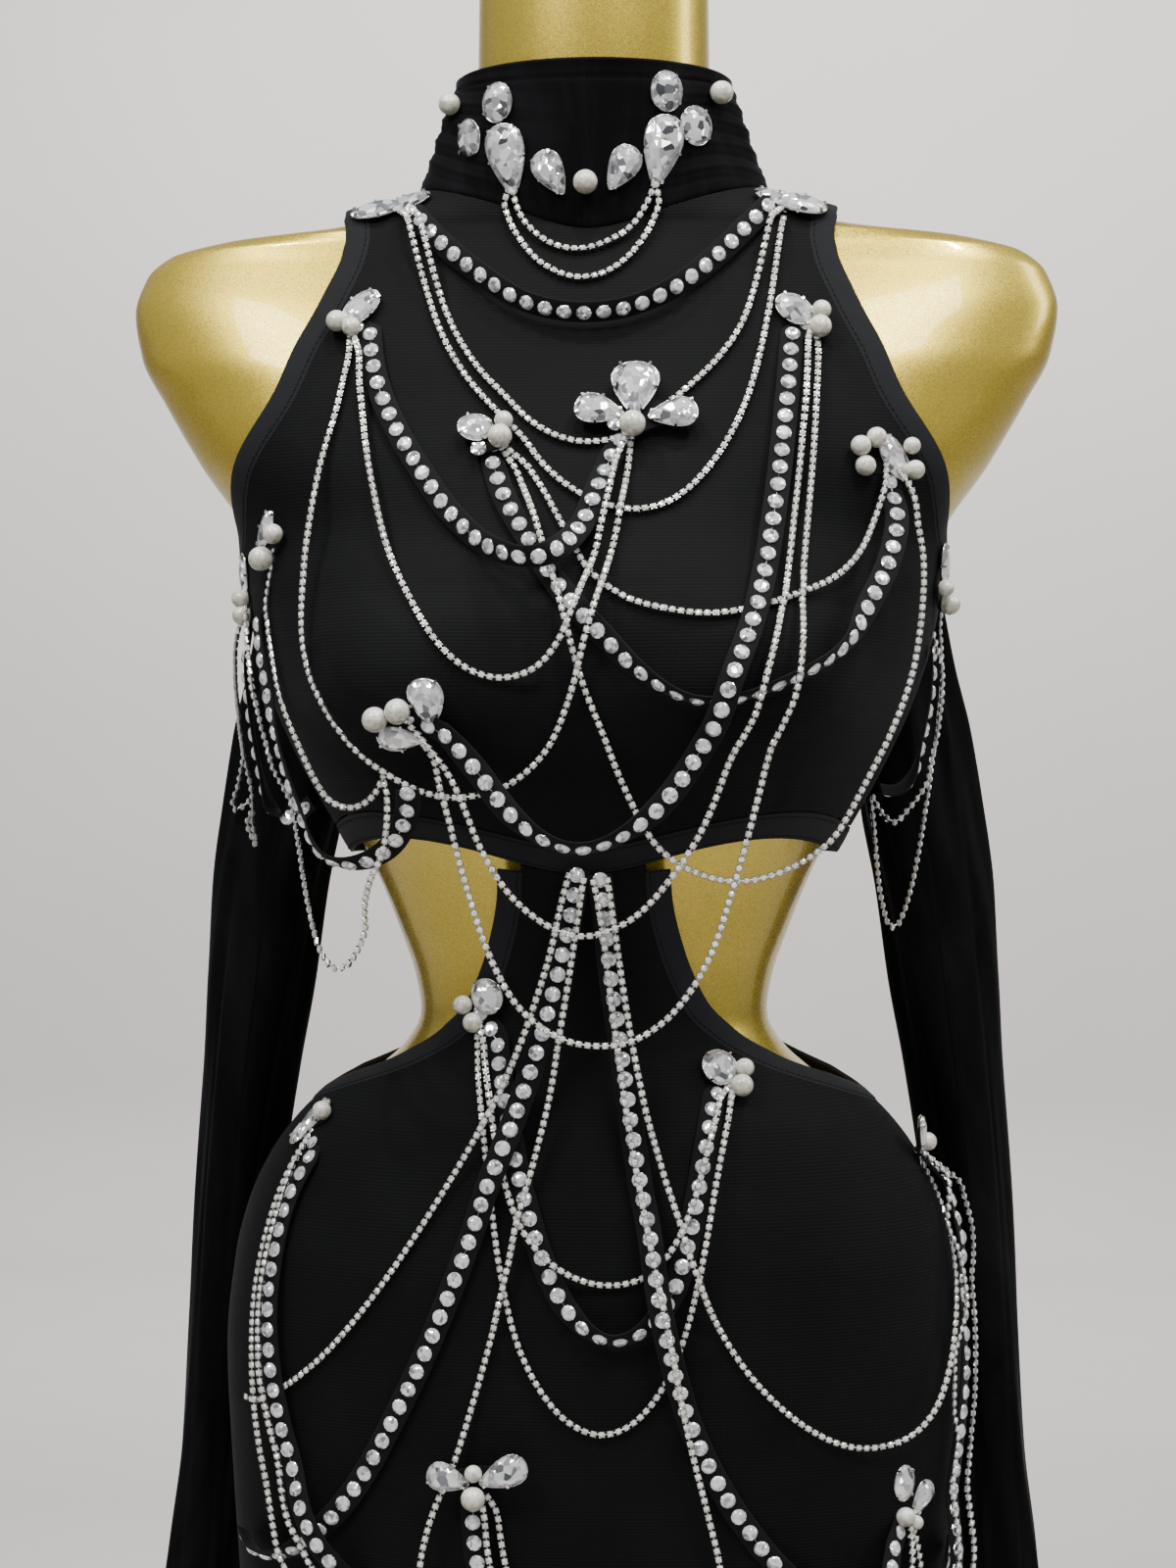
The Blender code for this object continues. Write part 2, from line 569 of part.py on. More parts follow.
def armhole_edge():
    """The armhole from the underarm up the back and down the front, as angle and height."""
    front = [(math.radians(a), z) for _, z, a in BODICE_FRONT_ROWS[3:]]
    back = [(math.pi - math.radians(a), z) for _, z, a in BODICE_BACK_ROWS[2:]]
    apex = (math.pi / 2, 276.5)
    front[0] = back[0] = (math.pi / 2, 86.0)
    back[-1] = apex
    return np.array(back + front[::-1][:-1])


def cutout_edge():
    """The lower edge of a waist cut-out from the band in front, under the side, to the band behind."""
    corner = math.radians(WAIST_PANEL_EDGE)
    top = float(bodice_foot(corner)) - BAND_WIDTH
    share = (CUTOUT_START - 3 * SEAM) / (top - 3 * SEAM - SKIRT_ROWS[0][1])
    front = [(corner + share * math.radians(SKIRT_ROWS[0][2] - WAIST_PANEL_EDGE), top - CUTOUT_START)]
    front += [(math.radians(a), z) for _, z, a in SKIRT_ROWS[:CUTOUT_ROWS]]
    front[-1] = (math.pi / 2, front[-1][1])
    behind = [(math.pi - a, z) for a, z in front[::-1][1:-1]]
    behind.append((math.pi - front[0][0], -19.0 - BAND_WIDTH - CUTOUT_START))
    return np.array(front + behind)


def panel_foot(angle):
    """A bodice panel's foot, just off the band all along although their columns differ."""
    return bodice_foot(angle) + EDGE_GAP


def make_band(into):
    angle = np.linspace(0, 2 * math.pi, 40, endpoint=False)
    top = bodice_foot(angle) - SEAM
    rows = np.array([top - BAND_WIDTH, top])
    angles = np.array([angle, angle])
    inner = figure_point(angles, rows, FIT_GAP)
    outer = figure_point(angles, rows, FIT_GAP + WALL)
    wall("underbust_band", inner, outer, "binding", into, ring=True)


def collar_points(angle, share, out):
    """The collar from its seam, share 0, to its top edge, share 1, with soft folds low at the sides."""
    foot = figure_point(angle, neckline(angle) + SEAM, FIT_GAP + out)
    depth = np.where(np.cos(angle) > 0, COLLAR_TOP["front"], COLLAR_TOP["back"])
    top = np.stack([
        (COLLAR_TOP["side"] + out) * np.sin(angle),
        -(depth + out) * np.cos(angle),
        np.full_like(angle, COLLAR_TOP["height"]),
    ], axis=-1)
    place = foot + (top - foot) * share[..., None]
    fold = COLLAR_FOLD * np.sin(angle) ** 4 * np.cos(14 * angle)
    away = np.stack([np.sin(angle), -np.cos(angle), np.zeros_like(angle)], axis=-1)
    return place + away * (fold * np.sin(math.pi * share) ** 2)[..., None]


def make_collar(into):
    angle = np.linspace(0, 2 * math.pi, 32, endpoint=False)
    share = np.linspace(0, 1, 4)
    angles, shares = np.meshgrid(angle, share)
    inner = collar_points(angles, shares, 0.0)
    outer = collar_points(angles, shares, WALL)
    return wall("collar", inner, outer, "velvet", into, ring=True)


def sleeve_grid(side, depth):
    """The sleeve's rings, its wall taken in by depth, pushed clear of the dress where it would touch."""
    table = np.array(SLEEVE, float)[::-1]
    turn = np.linspace(0, 2 * math.pi, 12, endpoint=False)
    rings = []
    for z, out, behind, half_width, half_depth in table:
        lobes = 1 + SLEEVE_FOLD * np.cos(3 * turn + 0.8 + z / 160.0)
        x = out + (half_width - depth) * lobes * np.sin(turn)
        y = behind - (half_depth - depth) * lobes * np.cos(turn)
        angle = np.arctan2(x, -y)
        reach = np.hypot(x, y)
        least = figure_radius(angle, np.full_like(angle, z)) + FIT_GAP + WALL + SLEEVE_CLEAR + depth
        reach = np.maximum(reach, least)
        ring = [reach * np.sin(angle) * side, -reach * np.cos(angle), np.full_like(x, z)]
        rings.append(np.stack(ring, axis=-1))
    rings = np.array(rings)
    return rings if side > 0 else rings[:, ::-1]


def make_sleeves(into):
    for name, side in (("sleeve_right", 1), ("sleeve_left", -1)):
        wall(name, sleeve_grid(side, WALL), sleeve_grid(side, 0.0), "velvet", into, ring=True)


# The form and its stand

def make_form(cloth, into):
    """The form, drawn in from the cloth by FORM_INSET except at SEAT_RING, where the dress rests on it."""
    heights = FORM_RINGS
    count = 26
    turn = np.linspace(0, 2 * math.pi, count, endpoint=False)
    rings = []
    for z in heights:
        side, front, back, _ = (float(v) for v in section(np.array(z, float)))
        depth = np.where(np.cos(turn) > 0, front, back)
        angle = np.arctan2(side * np.sin(turn), depth * np.cos(turn))
        ring = figure_point(angle, np.full(count, z), -FORM_INSET)
        if z == SEAT_RING:
            out = figure_point(angle, np.full(count, z)) - ring
            out /= FORM_INSET
            falls = [cloth.ray_cast(Vector(p), Vector(n))[3] for p, n in zip(ring, out)]
            ring += out * (np.array(falls) - 2 * SEAM)[:, None]
        rings.append(ring)
    points = np.concatenate(rings)
    faces = []
    for i in range(len(heights) - 1):
        for j in range(count):
            k = (j + 1) % count
            faces.append([i * count + j, i * count + k, (i + 1) * count + k, (i + 1) * count + j])
    faces.append([j for j in range(count)][::-1])
    faces.append([(len(heights) - 1) * count + j for j in range(count)])
    return add_mesh("dress_form", points, faces, "gold", into)


def cylinder(name, radius, low, high, sides, material, into):
    mesh = bpy.data.meshes.new(name)
    shape = bmesh.new()
    bmesh.ops.create_cone(shape, cap_ends=True, segments=sides, radius1=radius * MM, radius2=radius * MM,
                          depth=(high - low) * MM)
    bmesh.ops.translate(shape, verts=shape.verts, vec=(0, 0, (low + high) / 2 * MM))
    shape.to_mesh(mesh)
    shape.free()
    thing = bpy.data.objects.new(name, mesh)
    into.objects.link(thing)
    mesh.materials.append(look(material))
    return thing


def unite(thing, others):
    """Joins the others to thing with Boolean unions and removes them."""
    for other in others:
        join = thing.modifiers.new("join", "BOOLEAN")
        join.operation = "UNION"
        join.object = other
    bpy.context.view_layer.update()
    graph = bpy.context.evaluated_depsgraph_get()
    joined = bpy.data.meshes.new_from_object(thing.evaluated_get(graph))
    thing.modifiers.clear()
    old = thing.data
    thing.data = joined
    bpy.data.meshes.remove(old)
    for other in others:
        bpy.data.objects.remove(other, do_unlink=True)
    return thing


def make_stand(into):
    pole_top = EYE_HEIGHT + FORM_END - SEAM
    base = cylinder("stand", BASE_RADIUS, 0.0, BASE_THICK, 40, "chrome", into)
    pole = cylinder("pole", POLE_RADIUS, BASE_THICK - 3.0, pole_top - 1.0, 16, "chrome", into)
    flange = cylinder("flange", FLANGE_RADIUS, pole_top - FLANGE_THICK, pole_top, 24, "chrome", into)
    unite(base, [pole, flange])


# The front drawing

def eye_point():
    return Vector((VIEW_DISTANCE * math.sin(VIEW_TURN), -VIEW_DISTANCE * math.cos(VIEW_TURN), 0.0))


def sight_line(x, y):
    """Direction from the eye through a point of the front drawing."""
    right = Vector((math.cos(VIEW_TURN), math.sin(VIEW_TURN), 0.0))
    place = right * ((x - SHEET_AXIS[0]) * SHEET_UNIT) + Vector((0, 0, (SHEET_AXIS[1] - y) * SHEET_UNIT))
    return (place - eye_point()).normalized()


def skin_tree(things):
    """Everything that the drapes can lie on, for sight lines, in table millimetres."""
    points, faces, start = [], [], 0
    for thing in things:
        own = np.array([v.co for v in thing.data.vertices]) / MM - (0, 0, EYE_HEIGHT)
        points.extend(own.tolist())
        faces.extend([[start + i for i in p.vertices] for p in thing.data.polygons])
        start += len(own)
    return BVHTree.FromPolygons(points, faces)


def sight(tree, x, y):
    """The place on the dress that a point of the front drawing falls on, and the direction it faces.
    Beside the figure it is in front of the depth BESIDE, where the figure's outline is."""
    eye, ray = eye_point(), sight_line(x, y)
    place, normal, _, _ = tree.ray_cast(eye, ray)
    if place is None or place.y > BESIDE:
        place = eye + ray * ((BESIDE - eye.y) / ray.y)
        normal = Vector((place.x, 0.3 * place.y, 0.0)).normalized()
    return place, normal


def curve_through(points):
    """Dense points on a smooth curve through the points of a route, about SAMPLE_STEP apart on the sheet."""
    p = np.array(points, float)
    p = np.concatenate([[2 * p[0] - p[1]], p, [2 * p[-1] - p[-2]]])
    made = []
    for a, b, c, d in zip(p[:-3], p[1:-2], p[2:-1], p[3:]):
        count = max(2, int(np.linalg.norm(c - b) * SHEET_UNIT / SAMPLE_STEP))
        t = (np.arange(count) / count)[:, None]
        made.append(0.5 * (2 * b + (c - a) * t + (2 * a - 5 * b + 4 * c - d) * t**2
                           + (3 * b - a - 3 * c + d) * t**3))
    return np.concatenate(made + [p[-2:-1]])


def taut(along, out):
    """The least line that lies on or outside out and bulges only outwards, as a drape held at its ends."""
    hull = []
    for point in zip(along, out):
        while len(hull) > 1:
            (ax, ay), (bx, by) = hull[-2:]
            if (bx - ax) * (point[1] - ay) - (by - ay) * (point[0] - ax) < 0:
                break
            hull.pop()
        hull.append(point)
    xs, ys = np.array(hull).T
    return np.interp(along, xs, ys)


def smoothed(values, reach):
    """A running mean along a line of vectors, its ends kept in place."""
    padded = np.concatenate([values[:1].repeat(reach, 0), values, values[-1:].repeat(reach, 0)])
    return np.mean([padded[k:k + len(values)] for k in range(2 * reach + 1)], axis=0)


def hang(tree, points):
    """Places a route on the dress: points where it lies or hangs, and the directions that face out."""
    drawn = curve_through(points)
    eye = eye_point()
    rays = [sight_line(x, y) for x, y in drawn]
    found = [sight(tree, x, y) for x, y in drawn]
    depths = np.array([place.y for place, _ in found])
    normals = np.array([normal for _, normal in found])
    along = np.concatenate([[0], np.cumsum(np.linalg.norm(np.diff(drawn, axis=0), axis=1))])
    out = smoothed(taut(along, -depths)[:, None], 3)[:, 0]
    places = np.array([eye + ray * ((-o - eye.y) / ray.y) for ray, o in zip(rays, out)])
    angle = np.arctan2(places[:, 0], -places[:, 1])
    reach = np.hypot(places[:, 0], places[:, 1])
    more = np.maximum(figure_radius(angle, places[:, 2]) + FIT_GAP + WALL - reach, 0)
    places[:, :2] *= (1 + more / reach)[:, None]
    free = np.clip(((out + depths) * np.abs(normals[:, 1]) - 2.0) / 6.0, 0, 1)[:, None]
    normals = smoothed(normals * (1 - free) + np.array([0.0, -1.0, 0.0]) * free, 5)
    normals /= np.linalg.norm(normals, axis=1, keepdims=True)
    return places, normals


def tangents(places):
    along = np.gradient(places, axis=0)
    return along / np.maximum(np.linalg.norm(along, axis=1, keepdims=True), 1e-9)


def twist_of(places):
    """How far a strap turns on edge: not where it hangs down, most where it runs level."""
    level = np.hypot(*tangents(smoothed(places, 3))[:, :2].T)
    share = np.clip((level - 0.55) / 0.4, 0, 1)
    return STRAP_TWIST * smoothed((share * share * (3 - 2 * share))[:, None], 5)[:, 0]


class Laid:
    """A drape that has been laid: its points, and how far it reaches across and out from them."""

    def __init__(self, places, across, out):
        self.places, self.across, self.out = places, across, out


def lay(tree, places, normals, across, out, gap, hung, laid):
    """Raises a drape off the cloth and over those that were laid before it, in low humps. Its ends
    come down to the cloth that they are sewn to, except a start that is hung on a brooch."""
    along = np.concatenate([[0], np.cumsum(np.linalg.norm(np.diff(places, axis=0), axis=1))])
    lift = out + gap
    for end, way in ((0, along), (-1, along[-1] - along)):
        start = Vector(places[end] + normals[end] * lift[end])
        _, _, _, fall = tree.ray_cast(start, Vector(-normals[end]))
        if fall and not (end == 0 and hung):
            lift = lift - max(fall - out[end] - END_GAP, 0) * np.clip(1 - way / END_RAMP, 0, 1)
    for _ in range(6):
        centre = places + normals * lift[:, None]
        need = np.zeros(len(places))
        for other in laid:
            apart = centre[:, None] - other.places[None]
            rise = (apart * normals[:, None]).sum(-1)
            beside = np.sqrt(np.maximum((apart**2).sum(-1) - rise**2, 0))
            close = beside < across[:, None] + other.across[None] + 1.2
            wanted = out[:, None] + other.out[None] + LAY_GAP - rise
            need = np.maximum(need, np.where(close & (wanted < PASS_UNDER), wanted, 0).max(1))
        spread = (need[None] - LIFT_SLOPE * np.abs(along[:, None] - along[None])).max(1)
        lift = lift + np.maximum(spread, 0)
        if need.max() < 0.05:
            break
    return places + normals * lift[:, None]


def thin_line(points, within):
    """Indices of the points that keep a line within that distance of all of them."""
    keep, todo = {0, len(points) - 1}, [(0, len(points) - 1)]
    while todo:
        a, b = todo.pop()
        if b - a < 2:
            continue
        line, rest = points[b] - points[a], points[a + 1:b] - points[a]
        share = np.clip(rest @ line / max(line @ line, 1e-9), 0, 1)
        away = np.linalg.norm(rest - share[:, None] * line, axis=1)
        far = int(away.argmax())
        if away[far] > within:
            keep.add(a + 1 + far)
            todo += [(a, a + 1 + far), (a + 1 + far, b)]
    return sorted(keep)


# Drapes as solids

def make_chain(name, places, into):
    curve = bpy.data.curves.new(name, "CURVE")
    curve.dimensions = "3D"
    curve.bevel_depth = CHAIN_RADIUS * MM
    curve.bevel_resolution = 0
    curve.use_fill_caps = True
    line = curve.splines.new("POLY")
    kept = to_metres(places)
    line.points.add(len(kept) - 1)
    for point, place in zip(line.points, kept):
        point.co = (*place, 1.0)
    curve.materials.append(look("chain"))
    into.objects.link(bpy.data.objects.new(name, curve))


def make_strap(name, places, normals, twist, into):
    """A tape with its row of stones as one low ridge, turned on edge where it runs level."""
    length = np.linalg.norm(np.diff(places, axis=0), axis=1).sum()
    count = max(6, int(length / STRAP_STEP))
    picks = np.unique(np.linspace(0, len(places) - 1, count).round().astype(int))
    along = tangents(smoothed(places, 2))[picks]
    centre, normal, turn = places[picks], normals[picks], twist[picks][:, None]
    normal = normal - (normal * along).sum(1, keepdims=True) * along
    normal /= np.linalg.norm(normal, axis=1, keepdims=True)
    side = np.cross(along, normal)
    down = np.where(side[:, 2:] < 0, side, -side)
    face = normal * np.cos(turn) + down * np.sin(turn)
    across = np.cross(face, along)
    half = STRAP_HEIGHT / 2
    corners = [
        centre - face * half - across * STRAP_WIDTH / 2,
        centre - face * half + across * STRAP_WIDTH / 2,
        centre + face * half + across * STRAP_TOP / 2,
        centre + face * half - across * STRAP_TOP / 2,
    ]
    points = np.stack(corners, axis=1).reshape(-1, 3)
    rings = len(picks)
    faces = []
    for i in range(rings - 1):
        for k in range(4):
            n = (k + 1) % 4
            faces.append([4 * i + k, 4 * i + n, 4 * i + 4 + n, 4 * i + 4 + k])
    faces.append([3, 2, 1, 0])
    faces.append([4 * rings - 4 + k for k in range(4)])
    return add_mesh(name, points, faces, "binding", into)


def drape_all(tree, into):
    """Lays every strap and chain in order."""
    laid = []
    for name in LAY_ORDER:
        if name in STRAPS:
            places, normals = hang(tree, STRAPS[name])
            twist = twist_of(places)
            across = STRAP_WIDTH / 2 * np.cos(twist) + STRAP_HEIGHT / 2 * np.sin(twist)
            out = STRAP_HEIGHT / 2 * np.cos(twist) + STRAP_WIDTH / 2 * np.sin(twist)
            centre = lay(tree, places, normals, across, out, LAY_GAP + STRAP_EASE, name in HUNG, laid)
            make_strap(name, centre, normals, twist, into)
            laid.append(Laid(centre, across, out))
            continue
        routes = LOOPS[name] if name in LOOPS else (CHAINS[name],)
        done = []
        for route in routes:
            places, normals = hang(tree, route)
            thick = np.full(len(places), CHAIN_RADIUS)
            done.append(lay(tree, places, normals, thick, thick, LAY_GAP, name in HUNG, laid))
        for centre in done:
            laid.append(Laid(centre, np.full(len(centre), CHAIN_RADIUS), np.full(len(centre), CHAIN_RADIUS)))
        kept = [centre[thin_line(centre, CHAIN_TOLERANCE)] for centre in done]
        make_chain(name, np.concatenate([kept[0], *(back[::-1] for back in kept[1:])]), into)


# Stones and brooches

def outline(kind, width, height, count):
    """A stone's outline, its point downwards if it is a pear."""
    turn = np.linspace(0, 2 * math.pi, count, endpoint=False) + math.pi / 2
    x, y = np.cos(turn) * width / 2, np.sin(turn) * height / 2
    if kind == "pear":
        x = x * (1 + 0.5 * np.sin(turn)) / 1.25
    return np.stack([x, y], axis=1)


def stone(name, kind, width, height, frame, into):
    """A low faceted stone, or a pearl, standing on the frame's plane."""
    mesh = bpy.data.meshes.new(name)
    shape = bmesh.new()
    if kind == "pearl":
        bmesh.ops.create_uvsphere(shape, u_segments=6, v_segments=4, radius=width / 2)
        bmesh.ops.translate(shape, verts=shape.verts, vec=(0, 0, width * 0.42))
    else:
        thick = min(width, height) * 0.34
        large = height > 18
        sides = 8 if large else 6
        foot, crown = outline(kind, width, height, sides), outline(kind, width * 0.6, height * 0.6, sides)
        low = [shape.verts.new((x, y, 0.0)) for x, y in foot]
        girdle = [shape.verts.new((x, y, thick * 0.4)) for x, y in foot] if large else low
        high = [shape.verts.new((x, y, thick)) for x, y in crown]
        shape.faces.new(low[::-1])
        shape.faces.new(high)
        for lower, upper in ((low, girdle), (girdle, high)) if large else ((low, high),):
            for k in range(sides):
                n = (k + 1) % sides
                shape.faces.new([lower[k], lower[n], upper[n], upper[k]])
    bmesh.ops.transform(shape, matrix=frame, verts=shape.verts)
    shape.to_mesh(mesh)
    shape.free()
    thing = bpy.data.objects.new(name, mesh)
    into.objects.link(thing)
    mesh.materials.append(look("crystal"))
    return thing


def frame_at(place, normal, tilt):
    """A frame in metres above the floor, its Z along the normal and its Y up the dress, turned by tilt."""
    z = Vector(normal).normalized()
    y = Vector((0, 0, 1)) - z * z.z
    y = y.normalized() if y.length > 0.05 else Vector((0, 1, 0))
    x = y.cross(z)
    turned = Matrix((x, y, z)).transposed() @ Matrix.Rotation(math.radians(tilt), 3, "Z")
    origin = Vector(to_metres(place)[0])
    return Matrix.Translation(origin) @ Matrix.Scale(MM, 4) @ turned.to_4x4()


def plate(name, spots, frame, into):
    """A thin backing under a brooch, spanning the middles of its stones."""
    mesh = bpy.data.meshes.new(name)
    shape = bmesh.new()
    for x, y in spots:
        for dx, dy in ((-1, 0), (1, 0), (0, -1), (0, 1)):
            for z in (-PLATE_THICK, 0.4):
                shape.verts.new((x + dx * PLATE_MARGIN, y + dy * PLATE_MARGIN, z))
    made = bmesh.ops.convex_hull(shape, input=shape.verts)
    spare = [v for v in made["geom_interior"] + made["geom_unused"] if isinstance(v, bmesh.types.BMVert)]
    bmesh.ops.delete(shape, geom=list(set(spare)), context="VERTS")
    bmesh.ops.transform(shape, matrix=frame, verts=shape.verts)
    bmesh.ops.recalc_face_normals(shape, faces=shape.faces)
    shape.to_mesh(mesh)
    shape.free()
    thing = bpy.data.objects.new(name, mesh)
    into.objects.link(thing)
    mesh.materials.append(look("crystal"))
    return thing


def triangles_of(thing):
    """The thing's points in millimetres and its triangles."""
    mesh = thing.evaluated_get(bpy.context.evaluated_depsgraph_get()).to_mesh()
    mesh.calc_loop_triangles()
    return np.array([v.co for v in mesh.vertices]) / MM, [tuple(t.vertices) for t in mesh.loop_triangles]


def solid_tree(thing):
    points, faces = triangles_of(thing)
    return BVHTree.FromPolygons(points.tolist(), faces)


def settle(thing, normal, solids):
    """Lowers a brooch along its normal onto what is under it, and leaves it SEAM clear of that."""
    bpy.context.view_layer.update()
    start, faces = triangles_of(thing)
    way = np.array(normal)

    def touches(height):
        moved = BVHTree.FromPolygons((start + way * height).tolist(), faces)
        return any(moved.overlap(solid) for solid in solids)

    clear = 0.0
    while clear < BROOCH_DROP and touches(clear):
        clear += 1.0
    while clear > -BROOCH_DROP and not touches(clear - 1.0):
        clear -= 1.0
    blocked = clear - 1.0
    for _ in range(4):
        half = (clear + blocked) / 2
        if touches(half):
            blocked = half
        else:
            clear = half
    moved = (start + way * (clear + SEAM)) * MM
    thing.data.vertices.foreach_set("co", moved.ravel())
    thing.data.update()


def make_brooch(name, centre, stones, tree, solids, into):
    """A brooch that sits over the ends of the drapes below it."""
    spots = [(right, up) for _, right, up, _, _, _ in stones]
    place, _ = sight(tree, *centre)
    under = [sight(tree, centre[0] + x / SHEET_UNIT, centre[1] - y / SHEET_UNIT)[1] for x, y in spots]
    normal = sum(under, Vector()).normalized()
    base = frame_at(place, normal, 0)
    whole = plate(name, spots, base, into)
    others = []
    for kind, right, up, width, height, tilt in stones:
        local = Matrix.Translation((right, up, 0)) @ Matrix.Rotation(math.radians(tilt), 4, "Z")
        others.append(stone("stone", kind, width, height, base @ local, into))
    unite(whole, others)
    settle(whole, normal, solids)
    solids.append(solid_tree(whole))


def stud_collar(collar, tree, into):
    """The collar's own stones, raised from its wall."""
    stones = []
    for kind, x, y, width, height, tilt in COLLAR_STONES:
        place, normal = sight(tree, x, y)
        sunk = place - normal * 0.6
        frame = frame_at(sunk, normal, tilt)
        stones.append(stone("stone", kind, width, height, frame, into))
    unite(collar, stones)


def main():
    clear_scene()
    into = collection_named("halter_dress_on_form")
    make_stand(into)
    before = ((panel_foot, 89.9), *BODICE_FRONT_ROWS, (shoulder_row, 89.9), (bodice_top, 89.9))
    behind = ((panel_foot, 89.9), *BODICE_BACK_ROWS, (bodice_top, 89.9))
    panel("bodice_front", before, 19, 0, "knit", into)
    panel("bodice_back", behind, 15, 180, "knit", into)
    make_band(into)

    def panel_top(angle):
        return bodice_foot(angle) - BAND_WIDTH - 3 * SEAM

    skirt = ((panel_top, WAIST_PANEL_EDGE), *SKIRT_ROWS)[::-1]
    front = panel("skirt_front", skirt, 13, 0, "knit", into)
    back = panel("skirt_back", skirt, 11, 180, "knit", into)
    make_form(skin_tree([front, back]), into)
    binding("armhole_binding", armhole_edge(), True, into)
    binding("cutout_binding", cutout_edge(), False, into)
    make_sleeves(into)
    collar = make_collar(into)
    bpy.context.view_layer.update()
    tree = skin_tree(list(into.objects))
    drape_all(tree, into)
    stud_collar(collar, tree, into)
    bpy.context.view_layer.update()
    solids = [solid_tree(thing) for thing in into.objects]
    for name, (centre, stones) in BROOCHES.items():
        make_brooch(name, centre, stones, tree, solids, into)


main()
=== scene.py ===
# A black halter dress with waist cut-outs, hanging sleeves and crystal drapes, on a gold form.
# Tables are in millimetres with heights measured from eye level; Blender works in metres above the floor.
import json
import math

import bmesh
import bpy
import numpy as np
from mathutils import Matrix, Vector
from mathutils.bvhtree import BVHTree

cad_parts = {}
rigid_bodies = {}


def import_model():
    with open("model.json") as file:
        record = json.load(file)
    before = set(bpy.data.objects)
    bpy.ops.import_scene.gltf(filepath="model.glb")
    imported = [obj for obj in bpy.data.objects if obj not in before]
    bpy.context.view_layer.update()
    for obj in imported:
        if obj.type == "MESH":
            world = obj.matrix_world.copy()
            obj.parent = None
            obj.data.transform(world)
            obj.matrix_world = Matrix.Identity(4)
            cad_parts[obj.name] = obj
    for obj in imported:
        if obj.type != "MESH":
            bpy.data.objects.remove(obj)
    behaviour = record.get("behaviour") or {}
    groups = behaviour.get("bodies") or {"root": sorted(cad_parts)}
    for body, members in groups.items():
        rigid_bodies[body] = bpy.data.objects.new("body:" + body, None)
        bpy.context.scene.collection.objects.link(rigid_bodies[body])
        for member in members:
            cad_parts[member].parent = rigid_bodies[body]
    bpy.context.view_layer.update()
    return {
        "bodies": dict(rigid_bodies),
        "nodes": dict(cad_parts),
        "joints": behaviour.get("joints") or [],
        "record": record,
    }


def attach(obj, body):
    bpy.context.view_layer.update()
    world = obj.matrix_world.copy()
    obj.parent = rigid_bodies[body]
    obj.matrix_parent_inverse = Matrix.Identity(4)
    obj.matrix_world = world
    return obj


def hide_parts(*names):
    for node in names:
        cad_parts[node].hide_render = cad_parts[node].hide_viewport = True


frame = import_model()
cadNodes = frame["nodes"]
print("frame loaded,", len(cadNodes), "nodes")

mm = 0.001
eyeHeight = 1180.0


# Camera, at the height of the waist seam's middle and a little to the right

photo = {
    "width": 1200,
    "height": 1600,
    "distance": 1500.0,
    "turn": math.radians(3.0),
    "unit": 0.47,           # mm on the drawing sheet for one pixel
    "axisX": 606.0,
    "axisY": 800.0,
}


def makeCamera():
    camera = bpy.data.cameras.new("camera")
    camera.sensor_fit = "VERTICAL"
    camera.sensor_height = 36.0
    camera.lens = 36.0 * photo["distance"] / (photo["unit"] * photo["height"])
    camera.shift_x = -(photo["axisX"] - photo["width"] / 2) / photo["height"]
    holder = placed("camera", camera)
    turn = photo["turn"]
    holder.location = (
        photo["distance"] * mm * math.sin(turn),
        -photo["distance"] * mm * math.cos(turn),
        eyeHeight * mm,
    )
    holder.rotation_euler = (math.pi / 2, 0, turn)
    bpy.context.scene.camera = holder


# Small helpers

def toMetres(points):
    moved = np.array(points, float).reshape(-1, 3)
    return (moved + (0.0, 0.0, eyeHeight)) * mm


def pointsOf(thing):
    # a mesh's points in the tables' millimetres
    own = np.zeros(len(thing.data.vertices) * 3)
    thing.data.vertices.foreach_get("co", own)
    return own.reshape(-1, 3) / mm - (0, 0, eyeHeight)


def placed(name, data):
    thing = bpy.data.objects.new(name, data)
    bpy.context.scene.collection.objects.link(thing)
    return thing


def unit(vectors):
    return vectors / np.linalg.norm(vectors, axis=-1, keepdims=True)


def runningLength(points):
    return np.concatenate([[0], np.cumsum(np.linalg.norm(np.diff(points, axis=0), axis=1))])


def lengthAcross(grid):
    # how far along its row each point of a grid is
    return np.cumsum(np.linalg.norm(np.diff(grid, axis=1, prepend=grid[:, :1]), axis=-1), axis=1)


def ringFaces(offsets, count):
    # faces between rings of count points, each ring turned by its own part of a step, with closed ends
    faces = []
    for i, (this, above) in enumerate(zip(offsets, offsets[1:])):
        low, high = i * count, (i + 1) * count
        for k in range(count):
            n = (k + 1) % count
            if this == above:
                faces.append([low + k, low + n, high + n, high + k])
            elif above > this:
                faces += [[low + k, low + n, high + k], [low + n, high + n, high + k]]
            else:
                faces += [[low + k, high + n, high + k], [low + k, low + n, high + n]]
    faces.append(list(range(count))[::-1])
    faces.append([(len(offsets) - 1) * count + k for k in range(count)])
    return faces


def addNode(tree, kind, settings=None, sources=None, **values):
    # settings are the node's own, sources are links into its inputs, values are numbers on its inputs
    node = tree.nodes.new(kind)
    for key, value in (settings or {}).items():
        setattr(node, key, value)
    for key, value in values.items():
        node.inputs[key.replace("_", " ")].default_value = value
    for key, source in (sources or {}).items():
        tree.links.new(source, node.inputs[key])
    return node


